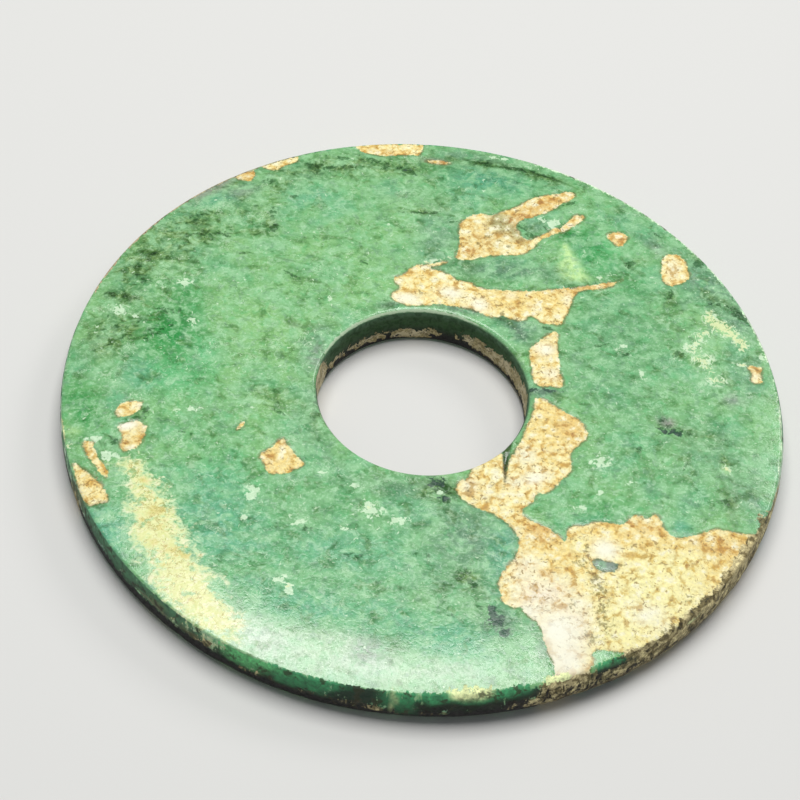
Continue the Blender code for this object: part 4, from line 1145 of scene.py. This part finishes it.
class Signal:
    # a shader socket that takes part in sums; any other node comes from make()
    def __init__(self, tree, socket=None):
        self.tree, self.socket = tree, socket

    def make(self, kind, settings=None, inputs=None, output=0):
        node = self.tree.nodes.new("ShaderNode" + kind)
        for name, value in (settings or {}).items():
            setattr(node, name, value)
        for name, value in (inputs or {}).items():
            if isinstance(value, Signal):
                self.tree.links.new(value.socket, node.inputs[name])
            else:
                node.inputs[name].default_value = value
        return Signal(self.tree, node.outputs[output]) if node.outputs else None

    def maths(self, operation, *values):
        return self.make("Math", {"operation": operation}, dict(enumerate(values)))

    def __add__(self, other):
        return self.maths("ADD", self, other)

    def __sub__(self, other):
        return self.maths("SUBTRACT", self, other)

    def __rsub__(self, other):
        return self.maths("SUBTRACT", other, self)

    def __mul__(self, other):
        return self.maths("MULTIPLY", self, other)

    def __abs__(self):
        return self.maths("ABSOLUTE", self)

    __radd__, __rmul__ = __add__, __mul__

    def rise(self, start, end):
        # 0 up to start, 1 from end, eased between; start may be the larger
        flip = start > end
        ends = {"From Min": min(start, end), "From Max": max(start, end)}
        ends.update({"To Min": 1.0 * flip, "To Max": 1.0 - flip})
        return self.make("MapRange", {"interpolation_type": "SMOOTHSTEP"}, {"Value": self, **ends})

    def clamped(self):
        return self.make("Clamp", {}, {"Value": self})

    def scaled(self, amount):
        # a colour or a place times a number or a signal
        return self.make("VectorMath", {"operation": "SCALE"}, {0: self, "Scale": amount})

    def mixed(self, first, second, blend="MIX"):
        # two colours mixed by this signal
        inputs = {"Factor": self, 6: first, 7: second}
        return self.make("Mix", {"data_type": "RGBA", "blend_type": blend}, inputs, output=2)

    def toned(self, colour, name):
        return self.mixed(colour, tone(name))

    def dyed(self, colour, name):
        return self.mixed(colour, (*dyes[name], 1.0), "MULTIPLY")

    def spread(self, size, seed, stretch=1.0):
        # this signal is a place in millimetres, here counted in features and moved on by the seed
        scale = (1 / size / stretch, 1 / size, 1 / size)
        move = (seed * 17.3, seed * 9.1, seed * 5.7)
        return self.make("VectorMath", {"operation": "MULTIPLY_ADD"}, {0: self, 1: scale, 2: move})

    def noise(self, name):
        size, seed, detail, roughness, distortion, stretch = textures[name]
        inputs = {"Vector": self.spread(size, seed, stretch), "Scale": 1.0, "Detail": detail}
        inputs.update({"Roughness": roughness, "Distortion": distortion})
        return self.make("TexNoise", {}, inputs)

    def crumbs(self, name, output):
        # output 0 is the distance to the middle of the nearest crumb, 1 a random colour for each
        return self.make("TexVoronoi", {}, {"Vector": self.spread(*crumbSizes[name]), "Scale": 1.0}, output)

    def mark(self, name, output=2):
        return self.make("Attribute", {"attribute_name": name}, output=output)

    def markColour(self, name):
        return self.mark(name, 0)

    def markShare(self, name):
        # the alpha of a colour mark, which says how much of its colour there is
        return self.mark(name, 3)


def washedStone(place, noises):
    # hue drift, listed washes of colour, and moss: olive ground with yellow-green lights
    broad, middle, tint, mottle = (noises[name] for name in ("broad", "middle", "tint", "mottle"))
    stone = (broad.rise(0.52, 0.34) * 0.4).mixed(tone("jade"), tone("sea"))
    stone = (broad.rise(0.5, 0.68) * 0.5).toned(stone, "spring")
    wash = (place.markShare("wash") * (0.5 + middle * 1.1)).clamped()
    stone = wash.mixed(stone, place.markColour("wash"))
    stone = (tint.rise(0.53, 0.68) * 0.4).toned(stone, "mint")
    stone = (tint.rise(0.47, 0.32) * 0.5).toned(stone, "sage")
    mossy = place.mark("mossy")
    moss = mottle.rise(0.42, 0.6).mixed(tone("moss"), tone("mossLight"))
    return (mossy * 0.75 + (middle + mossy * 0.1).rise(0.56, 0.68) * 0.42).clamped().mixed(stone, moss)


def cloudedStone(place, noises, stone):
    # pale clouding and murk in soft patches and finer grains; the murk deepens whatever green lies there
    middle, mottle, grain = (noises[name] for name in ("middle", "mottle", "grain"))
    mossy, smudge = place.mark("mossy"), place.noise("smudge")
    stone = (place.mark("dim") * 0.7).dyed(stone, "dusk")
    stone = (middle.rise(0.48, 0.34) * 0.6).toned(stone, "dew")
    stone = (middle.rise(0.53, 0.66) * (0.55 + mossy * 0.3)).dyed(stone, "murk")
    stone = (smudge.rise(0.53, 0.68) * 0.45).toned(stone, "dew")
    stone = ((smudge - mossy * 0.06).rise(0.46, 0.34) * (0.5 + mossy * 0.5)).dyed(stone, "murk")
    stone = (mottle.rise(0.54, 0.7) * 0.34).toned(stone, "haze")
    stone = (mottle.rise(0.46, 0.32) * 0.4).dyed(stone, "murk")
    stone = (grain.rise(0.54, 0.74) * 0.24).toned(stone, "haze")
    return (grain.rise(0.46, 0.3) * 0.28).dyed(stone, "murk")


def linedStone(place, noises, stone):
    # thin dark fibres that run from side to side in bundles, and the listed veins
    fibres = abs(place.noise("fibres") - 0.5).rise(0.035, 0.0)
    fibres = fibres * (place.noise("fibreBundles") + place.mark("mossy") * 0.1).rise(0.5, 0.62)
    stone = (fibres * 0.5).dyed(stone, "fibre")
    vein = place.mark("vein")
    veined = (vein + (noises["mottle"] - 0.5) * 1.8 + (noises["grain"] - 0.5) * 0.8).rise(0.3, 0.8)
    return (veined * vein.rise(0.05, 0.3) * 0.8).dyed(stone, "vein")


def fleckedStone(place, stone):
    # curls of pale mineral, single flecks and dark specks
    curls = abs(place.noise("curls") - 0.5).rise(0.045, 0.01)
    curls = curls * (place.noise("curlGroups") + place.mark("pale") * 0.16).rise(0.57, 0.7)
    stone = (curls * 0.42).toned(stone, "fleck")
    stone = (place.noise("flecks").rise(0.7, 0.77) * 0.7).toned(stone, "fleck")
    return (place.noise("specks").rise(0.65, 0.75) * 0.7).dyed(stone, "speck")


def withClots(place, noises, stone):
    # the listed clots, each broken up by noise; the creamy ones are a lace of pale ribs
    middle, mottle, grain = (noises[name] for name in ("middle", "mottle", "grain"))
    crumbled = place.noise("crumbled")
    ribs = abs(place.noise("ribs") - 0.5).rise(0.09, 0.02)

    def clots(name, start, end, ragged=3.0):
        mark = place.mark(name)
        broken = mark + (crumbled - 0.5) * ragged + (mottle - 0.5) * 1.0 + (grain - 0.5) * 0.5
        return broken.rise(start, end) * mark.rise(0.06, 0.3)

    stone = (clots("clot", 0.3, 0.75, 3.2) * 0.92).dyed(stone, "clot")
    stone = (clots("smoky", 0.4, 0.72, 2.6) * 0.85).toned(stone, "smoke")
    stone = (clots("pale", 0.42, 0.62) * 0.85).toned(stone, "fleck")
    creamy = place.mark("creamy")
    lace = creamy * 0.8 + ribs * 0.6 - 0.25 + (crumbled - 0.5) * 3.0 + (middle - 0.5) * 1.2
    lace = lace.rise(0.4, 0.75) * creamy.rise(0.06, 0.3)
    ribTone = (creamy * 0.7 + (grain - 0.5)).rise(0.2, 0.6).mixed(tone("fleck"), tone("trail"))
    return (lace * 0.85).mixed(stone, ribTone)


def withStreak(place, noises, stone):
    # the cloudy yellow streak: pale green at its ragged fringe, golden with brown lines where it is grainy
    middle, tint, mottle, grain = (noises[name] for name in ("middle", "tint", "mottle", "grain"))
    crystals = place.noise("crystals")
    inner = place.mark("streak") + (middle - 0.5) * 2.4 + (crystals - 0.5) * 2.8
    streak = (inner + (mottle - 0.5) * 2.2 + (grain - 0.5) * 1.0).rise(-0.5, 0.5)
    streak = streak * (1 - tint.rise(0.58, 0.68) * 0.6)
    veil = (inner + (mottle - 0.5) * 1.5).rise(0.0, 1.1).mixed(tone("veilPale"), tone("veil"))
    veil = (tint.rise(0.5, 0.38) * 0.5).dyed(veil, "veilShade")
    veil = (crystals.rise(0.52, 0.64) * 0.55).toned(veil, "ivory")
    grainy = place.mark("grainy")
    golden = (grainy + (crystals - 0.5) * 2.4).rise(0.3, 0.8) * grainy.rise(0.05, 0.3)
    veil = (golden * 0.8).toned(veil, "veilGold")
    veil = (grain.rise(0.5, 0.32) * 0.45).dyed(veil, "veilGrain")
    lines = abs(mottle - 0.5).rise(0.05, 0.0) * (tint + grainy * 0.14).rise(0.46, 0.56)
    veil = (lines * 0.9).dyed(veil, "veilLine")
    return (streak * 0.92).mixed(stone, veil), streak


def alteredStone(place, noises, edge):
    # Rounded pale crumbs on golden ground, washed in yellow and amber, with rusty blotches and crumb lines;
    # the golden and the lines in the gaps are partly painted shade. "pale" is high in a crumb and low
    # between them.
    mottle, grain = noises["mottle"], noises["grain"]
    inputs = {0: mottle, 1: (1.0, 1.0, 1.0), 2: place}
    warped = place.make("VectorMath", {"operation": "MULTIPLY_ADD"}, inputs)
    pick, gaps = warped.crumbs("crumb", 1), warped.crumbs("crumb", 0)
    cells, rusty = place.noise("cells"), place.mark("rusty")
    # golden low between crumbs: partly the stone's own colour, partly painted shade in the gaps
    pale = (0.5 - cells) * 2.6 + (pick - 0.5) * 0.7 - gaps * 1.2 + (grain - 0.5) * 0.5
    crumb = pale.rise(-0.9, -0.45).mixed(tone("golden"), tone("cream"))
    wash = (place.markShare("patchWash") * (0.7 - pale * 0.55)).clamped()
    crumb = wash.mixed(crumb, place.markColour("patchWash"))
    crumb = (pale.rise(-0.4, 0.05) * 0.7).toned(crumb, "ivory")
    crumb = ((pale - rusty * 0.5).rise(-0.85, -1.4) * 0.8).dyed(crumb, "blotch")
    rusted = (rusty * 0.8 + (mottle - 0.5) * 2.6 - pale * 0.4).rise(0.75, 1.15) * rusty.rise(0.05, 0.3)
    crumb = (rusted * 0.75).toned(crumb, "rust")
    # the gaps between crumbs darkened, partly painted shade between them
    lines = gaps.rise(0.48, 0.72) * (cells + rusty * 0.06).rise(0.42, 0.58)
    crumb = (lines * 0.7).dyed(crumb, "crumbLine")
    crumb, pits = spottedCrumb(place, noises, crumb, edge)
    crumb = crumb.scaled(0.59 + grain * 0.74)
    crumb = (place.mark("bleached") * (0.7 + mottle * 0.5)).clamped().toned(crumb, "bleach")
    return crumb, gaps * -0.6 + grain * 0.6 - pits * 0.6


def spottedCrumb(place, noises, crumb, edge):
    # brown spots, pits, the listed olive dirt, and a brown border against the green
    crumb = (place.noise("spots").rise(0.6, 0.67) * 0.7).toned(crumb, "spot")
    pits = place.noise("pits").rise(0.6, 0.7) * place.noise("pitGroups").rise(0.44, 0.6)
    crumb = (pits * 0.7).dyed(crumb, "pit")
    dirty = place.mark("dirty")
    soiled = (dirty * 0.3 + place.noise("dirt")).rise(0.62, 0.8) * dirty.rise(0.05, 0.3)
    crumb = (soiled * 0.9).dyed(crumb, "oliveDirt")
    border = edge.rise(0.24, 0.02) * noises["tint"].rise(0.42, 0.56)
    return (border * 0.5).toned(crumb, "spot"), pits


def sootAndShadeOnRim(place, noises, height, colour, altered):
    # soot and painted shade low on the rim, less of it on altered stone
    shadeSoot = height + (noises["middle"] - 0.5) * 2.0 + (noises["mottle"] - 0.5) * 1.8
    grimeAndShade = place.mark("sootAndShade") * shadeSoot.rise(2.3, 1.6)
    return (grimeAndShade * (1 - altered * 0.4)).toned(colour, "grimeAndShade"), grimeAndShade


def crustedRim(place, noises, height, colour):
    # grains from dark to pale, with painted shade darkening them towards the bottom
    rubble = place.noise("rubble") * 0.75 + place.crumbs("rubble", 1) * 0.25
    crust = rubble.rise(0.36, 0.43).mixed(tone("crustDark"), tone("crustBrown"))
    crust = rubble.rise(0.46, 0.53).toned(crust, "crustBeige")
    crust = rubble.rise(0.57, 0.63).toned(crust, "crustPale")
    # painted shade, darker down the rim
    crust = crust.scaled(height.rise(0.2, 2.8) * 0.65 + 0.42)
    mark = place.mark("crust")
    crusted = (mark * 1.4 + (noises["mottle"] - 0.5) * 1.8 + (noises["grain"] - 0.5)).rise(0.4, 0.7)
    crusted = crusted * mark.rise(0.03, 0.25)
    return (crusted * 0.96).mixed(colour, crust), crusted


def bandedRim(place, noises, height, colour):
    # bands of green, soot and lemon over the rest, speckled, with painted shade darkening them towards the
    # bottom
    mottle, grain, share = noises["mottle"], noises["grain"], place.markShare("rimWash")
    bands = (share * 1.3 + (place.noise("strands") - 0.5) * 3.4 + (grain - 0.5) * 1.4).rise(0.35, 0.75)
    bands = bands * share.rise(0.03, 0.2)
    # painted shade, darker down the rim
    speckled = (mottle * 2.2 + grain * 1.6 - 0.9) * height.rise(0.6, 3.3) * 1.1 + 0.06
    bandTone = place.markColour("rimWash").scaled(speckled)
    bandTone = (noises["tint"].rise(0.54, 0.64) * 0.8).toned(bandTone, "crustDark")
    return (bands * 0.96).mixed(colour, bandTone), bands


def boreWall(place, noises, height, colour, altered):
    # the bore's wall, stained below, with painted shade darkening it towards the bottom, a painted lit band
    # near the top, and a painted highlight along its lip
    middle, tint, mottle, grain = (noises[name] for name in ("middle", "tint", "mottle", "grain"))
    # painted shade: near-black at the bottom of the bore, dark green above
    wall = height.rise(0.9, 2.4).mixed(tone("grimeAndShade"), tone("wallGreen"))
    # painted light: a paler band near the top of the wall
    wall = (height + (middle - 0.5) * 0.8).rise(2.8, 3.4).toned(wall, "wallLitBand")
    wall = (mottle.rise(0.44, 0.58) * 0.65).dyed(wall, "wallMottle")
    stain = (middle * 0.5 + mottle * 0.5).rise(0.42, 0.58).mixed(tone("plaster"), tone("crustBeige"))
    lines = abs(mottle - 0.5).rise(0.04, 0.0) * tint.rise(0.44, 0.54)
    stain = (lines * 0.85).toned(stain, "crustDark")
    stain = ((grain * 0.5 + mottle * 0.5).rise(0.52, 0.6) * 0.75).toned(stain, "crustBrown")
    onWall, lip = place.mark("onWall"), place.mark("lipHighlight")
    colour = onWall.mixed(colour, altered.mixed(wall, stain))
    # painted highlight along the bore's lip
    worn = (lip * 1.2 + (mottle - 0.5) * 1.2).rise(0.35, 0.7) * lip.rise(0.05, 0.3)
    return (worn * 0.8).toned(colour, "lip"), onWall


def rimAndBore(place, noises, colour, altered):
    height = place.make("SeparateXYZ", {}, {0: place}, output=2)
    colour, grimeAndShade = sootAndShadeOnRim(place, noises, height, colour, altered)
    colour, crusted = crustedRim(place, noises, height, colour)
    colour, bands = bandedRim(place, noises, height, colour)
    colour, onWall = boreWall(place, noises, height, colour, altered)
    return colour, (bands + crusted + grimeAndShade + onWall).clamped()


def greenStone(place, noises):
    stone = cloudedStone(place, noises, washedStone(place, noises))
    stone = fleckedStone(place, linedStone(place, noises, stone))
    return withStreak(place, noises, withClots(place, noises, stone))


finish = {
    "polished": 0.1,  # roughness of the green stone
    "dull": 0.45,  # what altered stone, dirt and the streak add to it
    "dusty": 0.25,  # what dirt adds besides
    "bumpStrength": 0.6,
    "bumpDepth": 0.06,
    "refraction": 1.58,
}


def jadeMaterial():
    material = bpy.data.materials.new("weatheredJade")
    material.use_nodes = True
    tree = material.node_tree
    tree.nodes.clear()
    start = Signal(tree)
    place = start.make("TexCoord", output=3).scaled(1 / mm)  # the object's own coordinates
    noises = {name: place.noise(name) for name in ("broad", "middle", "tint", "mottle", "grain")}
    mottle, grain = noises["mottle"], noises["grain"]

    # The altered stone has a dark outline on the green side
    edge = place.mark("patch") + (mottle - 0.5) * (place.mark("onWall") * 1.4 + 0.5) + (grain - 0.5) * 0.22
    altered = edge.rise(-0.04, 0.07)
    outlined = edge.rise(-0.26, -0.04) * noises["tint"].rise(0.38, 0.54)
    stone, streak = greenStone(place, noises)
    crumb, crumbHeight = alteredStone(place, noises, edge)
    colour = altered.mixed((outlined * 0.6).toned(stone, "outline"), crumb)
    colour = (place.mark("crack").rise(-0.12, 0.1) * 0.9).dyed(colour, "crack")
    colour, dusty = rimAndBore(place, noises, colour, altered)

    dull = (altered + dusty + streak * 0.3).clamped()
    frosted = grain.rise(0.5, 0.66) * 0.3 + mottle.rise(0.52, 0.66) * 0.24
    roughness = finish["polished"] + dull * finish["dull"] + frosted + dusty * finish["dusty"]
    bumps = (1 - altered) * (grain * 0.5 + mottle * 0.6) + altered * crumbHeight
    bumpSize = {"Strength": finish["bumpStrength"], "Distance": finish["bumpDepth"] * mm}
    normal = start.make("Bump", {}, {**bumpSize, "Height": bumps})
    inputs = {"Base Color": colour, "Roughness": roughness, "Normal": normal, "IOR": finish["refraction"]}
    start.make("OutputMaterial", {}, {"Surface": start.make("BsdfPrincipled", {}, inputs)})
    return material


def makeDisc():
    mesh = discMesh()
    mesh.materials.append(jadeMaterial())
    piece = bpy.data.objects.new("jadeDisc", mesh)
    bpy.context.scene.collection.objects.link(piece)
    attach(piece, "root")
    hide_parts("jade_disc")
    print("disc finished")


makeCamera()
makeStudio()
makeFloor()
makeDisc()
